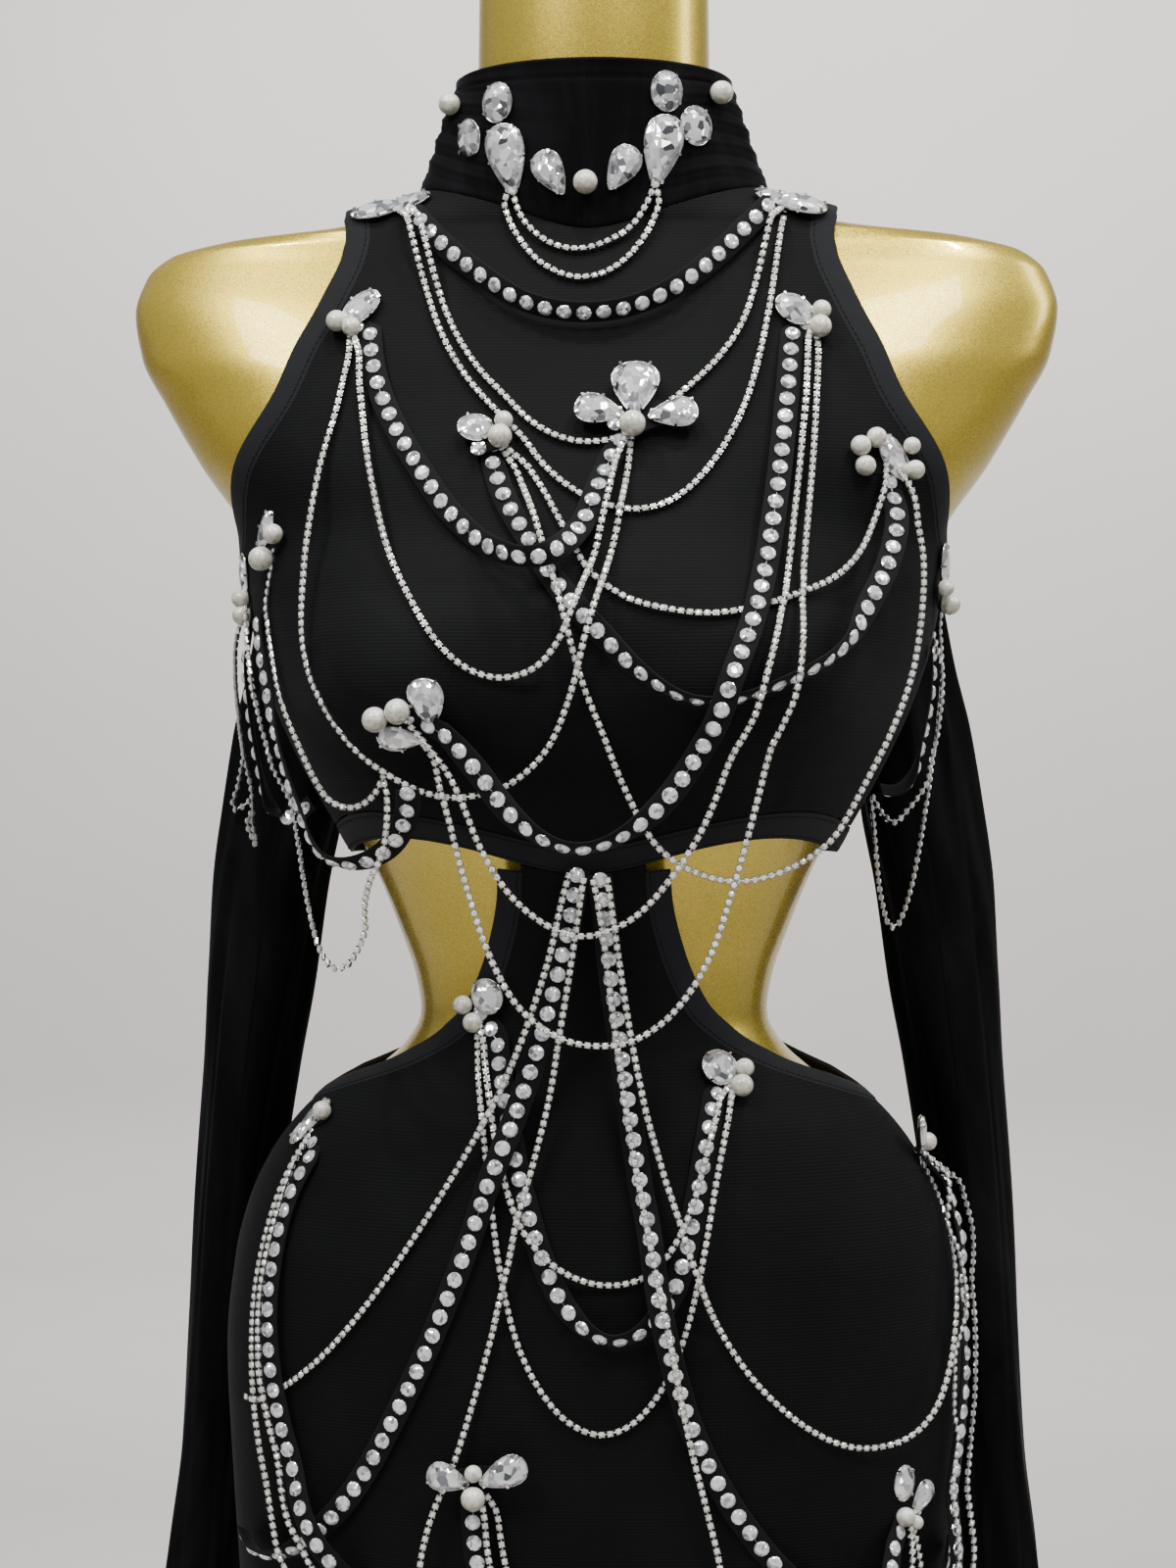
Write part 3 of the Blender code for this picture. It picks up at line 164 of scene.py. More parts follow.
def newPiece(name, points, faces, materials, uvs=None, indices=None, smooth=True):
    mesh = bpy.data.meshes.new(name)
    mesh.from_pydata(toMetres(points).tolist(), [], faces)
    mesh.update()
    for material in materials if isinstance(materials, (list, tuple)) else [materials]:
        mesh.materials.append(material)
    if indices is not None:
        mesh.polygons.foreach_set("material_index", np.array(indices, np.int32))
    if uvs is not None:
        layer = mesh.uv_layers.new(name="UVMap")
        corner = np.zeros(len(mesh.loops), np.int32)
        mesh.loops.foreach_get("vertex_index", corner)
        layer.data.foreach_set("uv", np.array(uvs, np.float32).reshape(-1, 2)[corner].ravel())
    if smooth:
        mesh.shade_smooth()
        mesh.set_sharp_from_angle(angle=math.radians(50))
    return placed(name, mesh)


def wallOf(name, inner, outer, material, ring=False, uvs=None):
    # a closed cloth wall between two grids, rows going up and columns to the right seen from outside
    rows, cols = inner.shape[:2]
    points = np.concatenate([inner.reshape(-1, 3), outer.reshape(-1, 3)])
    across = cols if ring else cols - 1
    i, j = np.meshgrid(np.arange(rows - 1), np.arange(across), indexing="ij")
    i, j = i.ravel(), j.ravel()
    k = (j + 1) % cols
    low, high = rows * cols + i * cols, rows * cols + (i + 1) * cols
    outside = np.stack([low + j, low + k, high + k, high + j], axis=1)
    inside = np.stack([i * cols + j, (i + 1) * cols + j, (i + 1) * cols + k, i * cols + k], axis=1)
    faces = np.concatenate([outside, inside]).tolist()
    top, lift = (rows - 1) * cols, rows * cols
    for a in range(across):
        b = (a + 1) % cols
        faces.append([a, b, lift + b, lift + a])
        faces.append([lift + top + a, lift + top + b, top + b, top + a])
    if not ring:
        end = cols - 1
        for r in range(rows - 1):
            a, b = r * cols, (r + 1) * cols
            faces.append([a, lift + a, lift + b, b])
            faces.append([lift + a + end, a + end, b + end, lift + b + end])
    if uvs is not None:
        uvs = np.concatenate([uvs.reshape(-1, 2), uvs.reshape(-1, 2)])
    return newPiece(name, points, faces, material, uvs)


def bakeModifiers(thing):
    # the evaluated result becomes a plain mesh
    bpy.context.view_layer.update()
    graph = bpy.context.evaluated_depsgraph_get()
    made = bpy.data.meshes.new_from_object(thing.evaluated_get(graph))
    thing.modifiers.clear()
    thing.data = made
    return thing



def declareCloth(grid, restsOn, ring=False):
    # a ring's grid gets its first column again at its end; nothing is made from it
    if ring:
        grid = np.concatenate([grid, grid[:, :1]], axis=1)


def dress(piece, slot, *nodes):
    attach(piece, "root")
    if nodes:
        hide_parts(*nodes)
    return piece


# Materials

class Finish:
    # a material, with the few steps that every look is built from
    def __init__(self, name, settings, coordinates="Object"):
        self.material = bpy.data.materials.new(name)
        self.material.use_nodes = True
        self.tree = self.material.node_tree
        self.shader = self.tree.nodes["Principled BSDF"]
        for socket, value in settings.items():
            self.shader.inputs[socket].default_value = value
        source = self.add("ShaderNodeUVMap" if coordinates == "UV" else "ShaderNodeTexCoord")
        self.place = source.outputs[coordinates]

    def add(self, kind, settings=None, sources=None, **values):
        return addNode(self.tree, kind, settings, sources, **values)

    def pattern(self, kind, settings=None, **values):
        # a texture node on the piece's own coordinates
        return self.add("ShaderNodeTex" + kind, settings, {"Vector": self.place}, **values)

    def blend(self, first, second, by=None):
        # first times second, or first times a number plus second
        if by is None:
            return self.add("ShaderNodeMath", {"operation": "MULTIPLY"}, {0: first, 1: second}).outputs[0]
        node = self.add("ShaderNodeMath", {"operation": "MULTIPLY_ADD"}, {0: first, 2: second})
        node.inputs[1].default_value = by
        return node.outputs[0]

    def split(self, colour):
        return self.add("ShaderNodeSeparateColor", sources={"Color": colour}).outputs

    def colour(self, source, stops):
        node = self.add("ShaderNodeValToRGB", sources={"Fac": source})
        while len(node.color_ramp.elements) < len(stops):
            node.color_ramp.elements.new(0.5)
        for element, (place, colour) in zip(node.color_ramp.elements, stops):
            element.position = place
            element.color = (*colour, 1.0)
        self.tree.links.new(node.outputs["Color"], self.shader.inputs["Base Color"])

    def rough(self, source, low, high):
        node = self.add("ShaderNodeMapRange", None, {"Value": source}, To_Min=low, To_Max=high)
        self.tree.links.new(node.outputs["Result"], self.shader.inputs["Roughness"])

    def bump(self, source, strength, distance, under=None):
        node = self.add("ShaderNodeBump", None, {"Height": source}, Strength=strength, Distance=distance)
        if under:
            self.tree.links.new(under.outputs["Normal"], node.inputs["Normal"])
        self.tree.links.new(node.outputs["Normal"], self.shader.inputs["Normal"])
        return node


def knitMaterial():
    # matte stretch knit: fine courses across, finer wales up, and a soft sheen
    look = {
        "colour": (0.0011, 0.0012, 0.0014),
        "light": (0.0046, 0.0053, 0.0060),
        "courses": 209.44,      # wave scale for ribs 1.5 mm apart
        "wales": 314.16,
    }
    finish = Finish("knit", {
        "Roughness": 0.78, "Sheen Weight": 0.02, "Sheen Roughness": 0.4,
        "Sheen Tint": (0.8, 0.85, 1.0, 1.0), "Specular IOR Level": 0.12,
    }, "UV")
    courses = finish.pattern("Wave", {"bands_direction": "Y"}, Scale=look["courses"], Distortion=0.35,
                             Detail=2.0, Detail_Scale=40.0)
    wales = finish.pattern("Wave", {"bands_direction": "X"}, Scale=look["wales"], Distortion=0.5, Detail=2.0)
    cloud = finish.pattern("Noise", Scale=16.0, Detail=5.0, Roughness=0.6)
    lint = finish.pattern("Noise", Scale=2600.0, Detail=3.0)
    mixed = finish.blend(wales.outputs["Fac"], courses.outputs["Fac"], 0.55)
    worn = finish.blend(mixed, cloud.outputs["Fac"])
    finish.colour(worn, ((0.15, look["colour"]), (0.95, look["light"])))
    finish.rough(lint.outputs["Fac"], 0.66, 0.88)
    finish.bump(mixed, 0.4, 0.00014)
    return finish.material


def velvetMaterial():
    # short pile: dark where it faces the eye, soft light at its turned edges, brushed in patches
    look = {"colour": (0.0014, 0.0014, 0.0018), "brushed": (0.0065, 0.0065, 0.0080), "stretch": 0.22}
    finish = Finish("velvet", {
        "Roughness": 0.85, "Sheen Weight": 0.10, "Sheen Roughness": 0.25,
        "Sheen Tint": (0.78, 0.82, 0.92, 1.0), "Specular IOR Level": 0.08,
    }, "UV")
    pile = finish.pattern("Noise", Scale=1900.0, Detail=3.0)
    spread = finish.add("ShaderNodeMapping", None, {"Vector": finish.place},
                        Scale=(1.0, look["stretch"], 1.0))
    finish.place = spread.outputs["Vector"]
    brushed = finish.pattern("Noise", Scale=34.0, Detail=6.0, Roughness=0.62, Distortion=0.5)
    finish.colour(brushed.outputs["Fac"], ((0.42, look["colour"]), (0.72, look["brushed"])))
    low = finish.bump(brushed.outputs["Fac"], 0.5, 0.0016)
    finish.bump(pile.outputs["Fac"], 0.35, 0.0003, low)
    return finish.material


def bindingMaterial(name, colour, ribs):
    # woven tape and fold-over elastic: a diagonal rib, matte
    finish = Finish(name, {
        "Roughness": 0.8, "Sheen Weight": 0.03, "Sheen Roughness": 0.5, "Specular IOR Level": 0.15,
    }, "UV")
    twill = finish.pattern("Wave", {"bands_direction": "DIAGONAL"}, Scale=ribs, Distortion=0.3)
    cloud = finish.pattern("Noise", Scale=120.0, Detail=4.0)
    lighter = tuple(min(1.0, c * 1.5) for c in colour)
    mixed = finish.blend(twill.outputs["Fac"], cloud.outputs["Fac"])
    finish.colour(mixed, ((0.1, colour), (0.6, lighter)))
    finish.bump(twill.outputs["Fac"], 0.3, 0.0001)
    return finish.material


def goldMaterial():
    # metallic paint: fine flakes under a clear coat, a little deeper in patches
    look = {"colour": (0.45, 0.315, 0.022), "flake": (0.62, 0.475, 0.065), "size": 2000.0}
    finish = Finish("gold", {
        "Metallic": 0.74, "Roughness": 0.30, "Coat Weight": 0.5, "Coat Roughness": 0.05,
    })
    flakes = finish.split(finish.pattern("Voronoi", Scale=look["size"]).outputs["Color"])
    cloud = finish.pattern("Noise", Scale=5.0, Detail=4.0)
    mixed = finish.blend(flakes["Red"], cloud.outputs["Fac"], 0.6)
    finish.colour(mixed, ((0.25, look["colour"]), (1.0, look["flake"])))
    finish.rough(flakes["Green"], 0.24, 0.38)
    finish.bump(flakes["Blue"], 0.12, 0.00008)
    return finish.material


def crystalMaterial(name, cells, tilt, metallic, stops):
    # foil-backed glass: the cut behind the glass shows as many small faces, each tilted its own way and each
    # painted bright or dark as a painted reflection of the foil
    finish = Finish(name, {
        "Metallic": metallic, "Roughness": 0.08, "Coat Weight": 0.9, "Coat Roughness": 0.03, "Coat IOR": 1.6,
    })
    facetTiltAndPaintedGlint = finish.pattern("Voronoi", Scale=cells, Randomness=0.85).outputs["Color"]
    centred = finish.add("ShaderNodeVectorMath", {"operation": "SUBTRACT"}, {0: facetTiltAndPaintedGlint})
    centred.inputs[1].default_value = (0.5, 0.5, 0.5)
    scaled = finish.add("ShaderNodeVectorMath", {"operation": "SCALE"}, {0: centred.outputs[0]}, Scale=tilt)
    face = finish.add("ShaderNodeNewGeometry").outputs["Normal"]
    total = finish.add("ShaderNodeVectorMath", {"operation": "ADD"}, {0: face, 1: scaled.outputs[0]})
    turned = finish.add("ShaderNodeVectorMath", {"operation": "NORMALIZE"}, {0: total.outputs[0]})
    finish.tree.links.new(turned.outputs[0], finish.shader.inputs["Normal"])
    # the same cells paint each facet bright or dark into the colour: painted reflections and glints of the
    # foil
    finish.colour(finish.split(facetTiltAndPaintedGlint)["Red"], stops)
    return finish.material


def pearlMaterial():
    # nacre: cream white, with painted light on its upper side and painted shade below, softly clouded under a
    # clear layer
    finish = Finish("pearl", {
        "Roughness": 0.24, "Coat Weight": 0.9, "Coat Roughness": 0.08, "Specular IOR Level": 0.7,
    })
    cloud = finish.pattern("Noise", Scale=420.0, Detail=3.0)
    face = finish.add("ShaderNodeNewGeometry").outputs["Normal"]
    # the upward part of the normal paints light on the top and shade underneath into the base colour
    height = finish.add("ShaderNodeSeparateXYZ", sources={0: face}).outputs["Z"]
    mixed = finish.blend(height, cloud.outputs["Fac"], 0.42)
    finish.colour(mixed, ((0.12, (0.24, 0.235, 0.18)), (0.45, (0.50, 0.49, 0.41)), (0.8, (0.80, 0.80, 0.75))))
    finish.bump(cloud.outputs["Fac"], 0.08, 0.0002)
    return finish.material


def metalMaterial(name, colour, darker, roughness, marks):
    # plated metal with faint rubbing
    finish = Finish(name, {"Metallic": 1.0, "Roughness": roughness})
    rubbed = finish.pattern("Noise", Scale=marks, Detail=5.0, Roughness=0.65).outputs["Fac"]
    finish.colour(rubbed, ((0.3, darker), (0.65, colour)))
    finish.rough(rubbed, roughness * 0.7, roughness * 1.5)
    return finish.material


knit = knitMaterial()
velvet = velvetMaterial()
binding = bindingMaterial("binding", (0.0070, 0.0075, 0.0090), 420.0)
tape = bindingMaterial("tape", (0.0028, 0.0029, 0.0034), 520.0)
thread = bindingMaterial("thread", (0.008, 0.008, 0.0095), 1500.0)
gold = goldMaterial()
# colour stops for the painted facet reflections, from dark facets to white glints
crystal = crystalMaterial("crystal", 520.0, 0.7, 0.5, (
    (0.0, (0.22, 0.24, 0.27)), (0.22, (0.66, 0.68, 0.72)), (0.6, (0.96, 0.97, 1.0)), (1.0, (1.0, 1.0, 1.0))))
crystalLarge = crystalMaterial("crystal_large", 270.0, 0.9, 0.58, (
    (0.0, (0.06, 0.07, 0.08)), (0.18, (0.36, 0.37, 0.40)), (0.42, (0.86, 0.87, 0.90)),
    (1.0, (1.0, 1.0, 1.0))))
crystalSmall = crystalMaterial("crystal_small", 900.0, 0.5, 0.3, (
    (0.0, (0.50, 0.49, 0.45)), (0.35, (0.88, 0.87, 0.83)), (1.0, (1.0, 1.0, 0.97))))
pearl = pearlMaterial()
silver = metalMaterial("silver", (0.86, 0.85, 0.82), (0.55, 0.54, 0.52), 0.18, 900.0)
chrome = metalMaterial("chrome", (0.78, 0.78, 0.80), (0.60, 0.60, 0.62), 0.12, 40.0)
print("materials made")


# The figure: the form's skin as level sections, height, half width, depth in front, depth behind, squareness

figure = (
    (-620, 160, 86, 96, 2.2),
    (-470, 163, 90, 100, 2.2),
    (-376, 167, 93, 106, 2.2),
    (-330, 170, 96, 116, 2.2),
    (-266, 173, 98, 128, 2.2),
    (-225, 169, 98, 130, 2.2),
    (-200, 163, 96, 126, 2.15),
    (-178, 153, 92, 118, 2.1),
    (-160, 140, 88, 108, 2.1),
    (-145, 124, 84, 98, 2.0),
    (-132, 106, 79, 89, 2.0),
    (-120, 93, 76, 81, 2.0),
    (-108, 87, 75, 77, 2.0),
    (-94, 89, 76, 76, 2.0),
    (-70, 97, 80, 78, 2.0),
    (-45, 107, 87, 82, 2.0),
    (-28, 115, 95, 86, 2.0),
    (-4, 128, 113, 90, 2.1),
    (18, 139, 126, 93, 2.2),
    (42, 150, 132, 95, 2.2),
    (66, 158, 131, 97, 2.2),
    (90, 163, 124, 98, 2.2),
    (113, 168, 113, 98, 2.1),
    (150, 192, 94, 95, 2.35),
    (179, 209, 79, 88, 2.5),
    (202, 221, 68, 80, 2.6),
    (226, 225, 57, 70, 2.6),
    (245, 219, 48, 60, 2.6),
    (256, 207, 43, 54, 2.6),
    (263, 182, 41, 51, 2.5),
    (268, 140, 41, 51, 2.3),
    (274, 103, 42, 52, 2.1),
    (281, 83, 44, 53, 2.0),
    (292, 69, 46, 56, 2.0),
    (306, 62, 49, 60, 2.0),
    (330, 60, 50, 63, 2.0),
    (400, 59, 47, 67, 2.0),
)
bust = {"out": 24.0, "side": 84.0, "height": 42.0, "wide": 42.0, "tall": 46.0}
figureTable = np.array(figure, float)


def smoothColumn(heights, values, z):
    step = np.diff(heights)
    slope = np.diff(values) / step
    joined = slope[:-1] * slope[1:] > 0
    inner = np.zeros(len(slope) - 1)
    inner[joined] = 2 * slope[:-1][joined] * slope[1:][joined] / (slope[:-1] + slope[1:])[joined]
    tangent = np.concatenate([[slope[0]], inner, [slope[-1]]])
    i = np.clip(np.searchsorted(heights, z) - 1, 0, len(step) - 1)
    t = (z - heights[i]) / step[i]
    return (
        values[i] * (1 + 2 * t) * (1 - t) ** 2
        + tangent[i] * step[i] * t * (1 - t) ** 2
        + values[i + 1] * t * t * (3 - 2 * t)
        - tangent[i + 1] * step[i] * t * t * (1 - t)
    )


def section(z):
    z = np.clip(z, figureTable[0, 0], figureTable[-1, 0])
    return [smoothColumn(figureTable[:, 0], figureTable[:, k], z) for k in range(1, 5)]


def figureRadius(angle, z):
    # distance from the axis to the skin; angle 0 is the front and 90 degrees the right side
    side, front, back, power = section(z)
    across, along = np.abs(np.sin(angle)), np.cos(angle)
    depth = np.where(along > 0, front, back)
    radius = ((across / side) ** power + (np.abs(along) / depth) ** power) ** (-1 / power)
    away = (radius * across - bust["side"]) / bust["wide"]
    above = (z - bust["height"]) / bust["tall"]
    return radius + bust["out"] * np.exp(-(away**2) - above**2) * np.clip(along, 0, 1) ** 0.5


def figurePoint(angle, z, out=0.0):
    # points on the figure, moved out along its normal
    angle, z = np.broadcast_arrays(np.asarray(angle, float), np.asarray(z, float))

    def skin(a, h):
        radius = figureRadius(a, h)
        return np.stack([radius * np.sin(a), -radius * np.cos(a), h], axis=-1)

    around = skin(angle + 0.004, z) - skin(angle - 0.004, z)
    up = skin(angle, z + 0.3) - skin(angle, z - 0.3)
    return skin(angle, z) + unit(np.cross(around, up)) * np.asarray(out)[..., None]


def smoothPieces(p, steps):
    # the smooth curve from each inner point to the next, in steps(b, c) points each
    made = []
    for a, b, c, d in zip(p[:-3], p[1:-2], p[2:-1], p[3:]):
        count = steps(b, c)
        t = (np.arange(count) / count).reshape((-1,) + (1,) * a.ndim)
        made.append(0.5 * (2 * b + (c - a) * t + (2 * a - 5 * b + 4 * c - d) * t**2
                           + (3 * b - a - 3 * c + d) * t**3))
    return np.concatenate(made)


def openThrough(points, steps):
    p = np.array(points, float)
    p = np.concatenate([[2 * p[0] - p[1]], p, [2 * p[-1] - p[-2]]])
    return np.concatenate([smoothPieces(p, steps), p[-2:-1]])


def throughPoints(points, count):
    # a smooth curve through every point, with the same number of steps between each two
    return openThrough(points, lambda b, c: count)


# The form: smooth, whole, with its neck going on above the collar

formLook = {
    "inset": 4.2,           # the form's skin under the cloth
    "low": -470.0,
    "high": 400.0,
    "columns": 128,
    "edge": 5.0,            # width and depth of the rims at the neck's top and the foot
}


def makeForm():
    low, high, edge, inset = (formLook[key] for key in ("low", "high", "edge", "inset"))
    turn = np.linspace(0, 2 * math.pi, formLook["columns"], endpoint=False)

    def ring(z, inward):
        side, front, back, _ = (float(v) for v in section(np.array(z)))
        depth = np.where(np.cos(turn) > 0, front, back)
        angle = np.arctan2(side * np.sin(turn), depth * np.cos(turn))
        return figurePoint(angle, np.full(len(turn), float(z)), np.full(len(turn), -inward))

    def rounded(z, rise, way):
        grid = ring(z, inset + edge * rise)
        grid[:, 2] = z + way * edge * (1 - math.sqrt(max(0.0, 1 - rise * rise)))
        return grid

    def shrunk(flat, share):
        middle = flat.mean(0)
        cap = middle + (flat - middle) * share
        cap[:, 2] = flat[:, 2]
        return cap

    rises = [math.sin(a) for a in np.linspace(math.pi / 2, 0, 6)]
    plain = np.concatenate([
        np.linspace(a, b, count, endpoint=last) for (a, b, count, last) in (
            (low, -200, 46, False), (-200, -40, 50, False), (-40, 215, 76, False), (215, 300, 90, False),
            (300, high, 20, True))
    ])
    rings = [rounded(low, rise, 1) for rise in rises[:-1]]
    rings += [ring(z, inset) for z in plain if low + edge < z < high - edge]
    rings += [rounded(high, rise, -1) for rise in rises[::-1][1:]]
    rings = [shrunk(rings[0], s) for s in (0.2, 0.6)] + rings + [shrunk(rings[-3], s) for s in (0.6, 0.2)]
    form = newPiece("dressForm", np.concatenate(rings), ringFaces([0] * len(rings), len(turn)), gold)
    return dress(form, "gold", "dress_form")


# The stand: a round base with an eased edge, a pole and a flange under the form

standLook = {"base": 172.0, "thick": 14.0, "ease": 4.0, "pole": 12.5, "flange": 45.0, "flangeThick": 6.0}


def makeStand():
    base, thick, ease, pole, flange, flangeThick = standLook.values()
    top = eyeHeight + formLook["low"] - 0.3
    eased = [(math.sin(a), math.cos(a)) for a in np.linspace(0, math.pi / 2, 5)]
    profile = [(0.0, 0.0), (base - 1.5, 0.0), (base, 1.5)]
    profile += [(base - ease * (1 - c), thick - ease * (1 - r)) for r, c in eased]
    profile += [(pole + 9, thick), (pole + 7, thick + 3.5), (pole + 1, thick + 5), (pole, thick + 6)]
    profile += [(pole, top - flangeThick), (flange - 1, top - flangeThick), (flange, top - flangeThick + 1)]
    profile += [(flange, top - 1), (flange - 1, top), (0.0, top)]
    sides = 96
    points, faces = [(0, 0, profile[0][1] - eyeHeight)], []
    turn = np.linspace(0, 2 * math.pi, sides, endpoint=False)
    for radius, z in profile[1:-1]:
        points += [(radius * math.cos(a), radius * math.sin(a), z - eyeHeight) for a in turn]
    points.append((0, 0, profile[-1][1] - eyeHeight))
    rings = len(profile) - 2
    for j in range(sides):
        k = (j + 1) % sides
        faces.append([0, 1 + k, 1 + j])
        for i in range(rings - 1):
            a, b = 1 + i * sides, 1 + (i + 1) * sides
            faces.append([a + j, a + k, b + k, b + j])
        last = 1 + (rings - 1) * sides
        faces.append([last + j, last + k, len(points) - 1])
    stand = newPiece("standMetal", points, faces, chrome)
    stand.data.set_sharp_from_angle(angle=math.radians(35))
    return dress(stand, "chrome", "stand")


# The dress's own panels, stretched smoothly over the form

clothLook = {
    "gap": 1.2,             # between the form's outer line and the cloth
    "wall": 1.5,
    "seam": 0.3,
    "bandWidth": 12.0,
    "bindingWidth": 10.0,
    "hem": -600.0,
    "panelEdge": 17.5,      # degrees from the middle to the edge of the waist panel's top
    "rowSteps": 8,
    "columns": 121,
}
bodiceFrontRows = (
    (0, 4, 89.9),
    (28, 31, 89.9),
    (58, 60, 89.9),
    (88, 86, 89.9),
    (113, 104, 80),
    (140, 134, 70),
    (170, 168, 63.5),
    (202, 204, 63.3),
    (224, 230, 64.7),
    (234, 248, 67.1),
    (241, 264, 71),
    (244, 269.4, 75.6),
    (247, 273, 81.3),
)
bodiceBackRows = (
    (15, 12, 89.9),
    (50, 48, 89.9),
    (86, 86, 89.9),
    (112, 104, 80),
    (142, 134, 68.5),
    (175, 168, 59.6),
    (208, 204, 57.5),
    (236, 237, 58.7),
    (258, 258, 62),
    (273, 271, 71.7),
    (284, 276.5, 89.9),
)
skirtRows = (
    (-56, -56, 20),
    (-76, -74, 24),
    (-92, -90, 29),
    (-108, -106, 36),
    (-121, -118, 44.5),
    (-133, -128, 53.5),
    (-143, -136, 62.5),
    (-152, -142.5, 71.5),
    (-161, -148.5, 80.5),
    (-170, -153, 89.9),
    (-190, -183, 89.9),
    (-230, -226, 89.9),
    (-280, -280, 89.9),
    (-345, -345, 89.9),
    (-420, -420, 89.9),
    (-510, -510, 89.9),
    (-600, -600, 89.9),
)


def neckline(angle):
    high = np.where(np.cos(angle) > 0, 258.0, 292.0)
    return high + (281.0 - high) * np.sin(angle) ** 2


def bodiceTop(angle):
    return neckline(angle) - clothLook["seam"]


def bodiceFoot(angle):
    front = -27.0 + 8.0 * np.sin(angle) ** 2 + 12.0 * np.sin(2 * angle) ** 2
    return np.where(np.cos(angle) > 0, front, -19.0)


def panelTop(angle):
    return bodiceFoot(angle) - clothLook["bandWidth"] - 3 * clothLook["seam"]


def panelGrid(rows, facing):
    even = np.linspace(-1, 1, clothLook["columns"])
    share = 0.6 * even + 0.4 * np.sin(even * math.pi / 2)
    angles, heights = [], []
    for row in rows:
        if callable(row[0]):
            angle = share * math.radians(row[1]) + math.radians(facing)
            height = row[0](angle)
        else:
            centre, edgeHeight, edgeAngle = row
            angle = share * math.radians(edgeAngle) + math.radians(facing)
            height = centre + (edgeHeight - centre) * share**2
        angles.append(angle)
        heights.append(height)
    return throughPoints(angles, clothLook["rowSteps"]), throughPoints(heights, clothLook["rowSteps"])


def distanceTo(points, line):
    # from each point of a grid to a polyline in angle and height, in mm at the figure's size
    best = np.full(points.shape[:-1], 1e9)
    for a, b in zip(line[:-1], line[1:]):
        a, b = np.array(a, float), np.array(b, float)
        t = np.clip(((points - a) @ (b - a)) / ((b - a) @ (b - a)), 0, 1)
        best = np.minimum(best, np.linalg.norm(points - (a + t[..., None] * (b - a)), axis=-1))
    return best


reliefLook = {
    "radius": 140.0,        # mm on the figure for one radian
    "lip": 0.4,             # the ridge beside a crease, as a part of its depth
    "lipAway": 2.2,
    "zipRise": 0.45,
    "zipGroove": 0.5,
    "hemRise": 0.35,
    "hemWide": 18.0,
    "hemGroove": 0.45,
}
creases = {
    # crease lines on the panels: angle times the radius and height, then depth, width
    "cupSideLeft": (((-112, 58), (-98, 40), (-84, 30), (-72, 26)), 1.1, 3.2),
    "cupSideRight": (((112, 60), (98, 42), (84, 31), (72, 27)), 1.1, 3.2),
    "cupUnderLeft": (((-104, -6), (-92, 12), (-76, 20)), 0.7, 3.0),
    "cupUnderRight": (((104, -6), (92, 12), (76, 20)), 0.7, 3.0),
}


def relief(angle, z, facing):
    # creases beside the cups, the closed zip at the centre back, and the turned hem
    look = reliefLook
    wrapped = np.arctan2(np.sin(angle), np.cos(angle))
    spot = np.stack([wrapped * look["radius"], z], axis=-1)
    out = np.zeros_like(z)
    if facing == 0:
        for line, depth, wide in creases.values():
            away = distanceTo(spot, line)
            out -= depth * np.exp(-((away / wide) ** 2))
            out += look["lip"] * depth * np.exp(-(((away - look["lipAway"] * wide) / wide) ** 2))
    else:
        beside = np.abs(np.abs(wrapped) - math.pi) * figureRadius(angle, z)
        out += look["zipRise"] * np.exp(-(((beside - 2.6) / 1.5) ** 2))
        out -= look["zipGroove"] * np.exp(-(beside**2))
    up = z - clothLook["hem"]
    out += look["hemRise"] * np.clip(look["hemWide"] - up, 0, 1)
    out -= look["hemGroove"] * np.exp(-(((up - look["hemWide"] - 0.5) / 1.2) ** 2))
    return out


def makePanel(name, rows, facing, node):
    angles, heights = panelGrid(rows, facing)
    gap, wall = clothLook["gap"], clothLook["wall"]
    out = relief(angles, heights, facing)
    inner = figurePoint(angles, heights, gap + np.minimum(out, 0) * 0.6)
    outer = figurePoint(angles, heights, gap + wall + out)
    around = lengthAcross(outer)
    around -= around[:, clothLook["columns"] // 2][:, None]
    uvs = np.stack([around * mm, (heights + 700.0) * mm], axis=-1)
    piece = wallOf(name, inner, outer, knit, uvs=uvs)
    declareCloth(outer, ["dress_form"])
    return dress(piece, "knit", node)


# Bands and bindings: folded elastic along the edges, with a row of stitches

edgingLook = {
    "past": 0.6,            # how far an edging reaches past the cloth's edge
    "spare": 0.9,
    "under": 0.1,
    "over": 0.15,
    "full": 0.55,           # how much fuller an edging is along its middle
    "bandOver": 0.2,
    "bandFull": 0.6,
    "stitchIn": 1.3,
    "stitchUp": 0.55,
    "bandStitchIn": 1.6,
    "bandStitchUp": 0.62,
    "bandRadius": 0.11,
}


def fullness(share):
    # none at both edges and one along the middle
    return math.sin(math.pi * share) ** 0.6


def stripBeside(edge, closed, near, far, steps=6):
    # rows of a strip lying on the figure to the left of an edge given as angle and height
    skin = figurePoint(edge[:, 0], edge[:, 1])
    normal = figurePoint(edge[:, 0], edge[:, 1], np.ones(len(edge))) - skin
    along = np.roll(skin, -1, axis=0) - np.roll(skin, 1, axis=0) if closed else np.gradient(skin, axis=0)
    across = unit(np.cross(normal, along))
    shares = np.linspace(0, 1, steps)
    return [(skin + across * (near + (far - near) * share), normal, share) for share in shares]


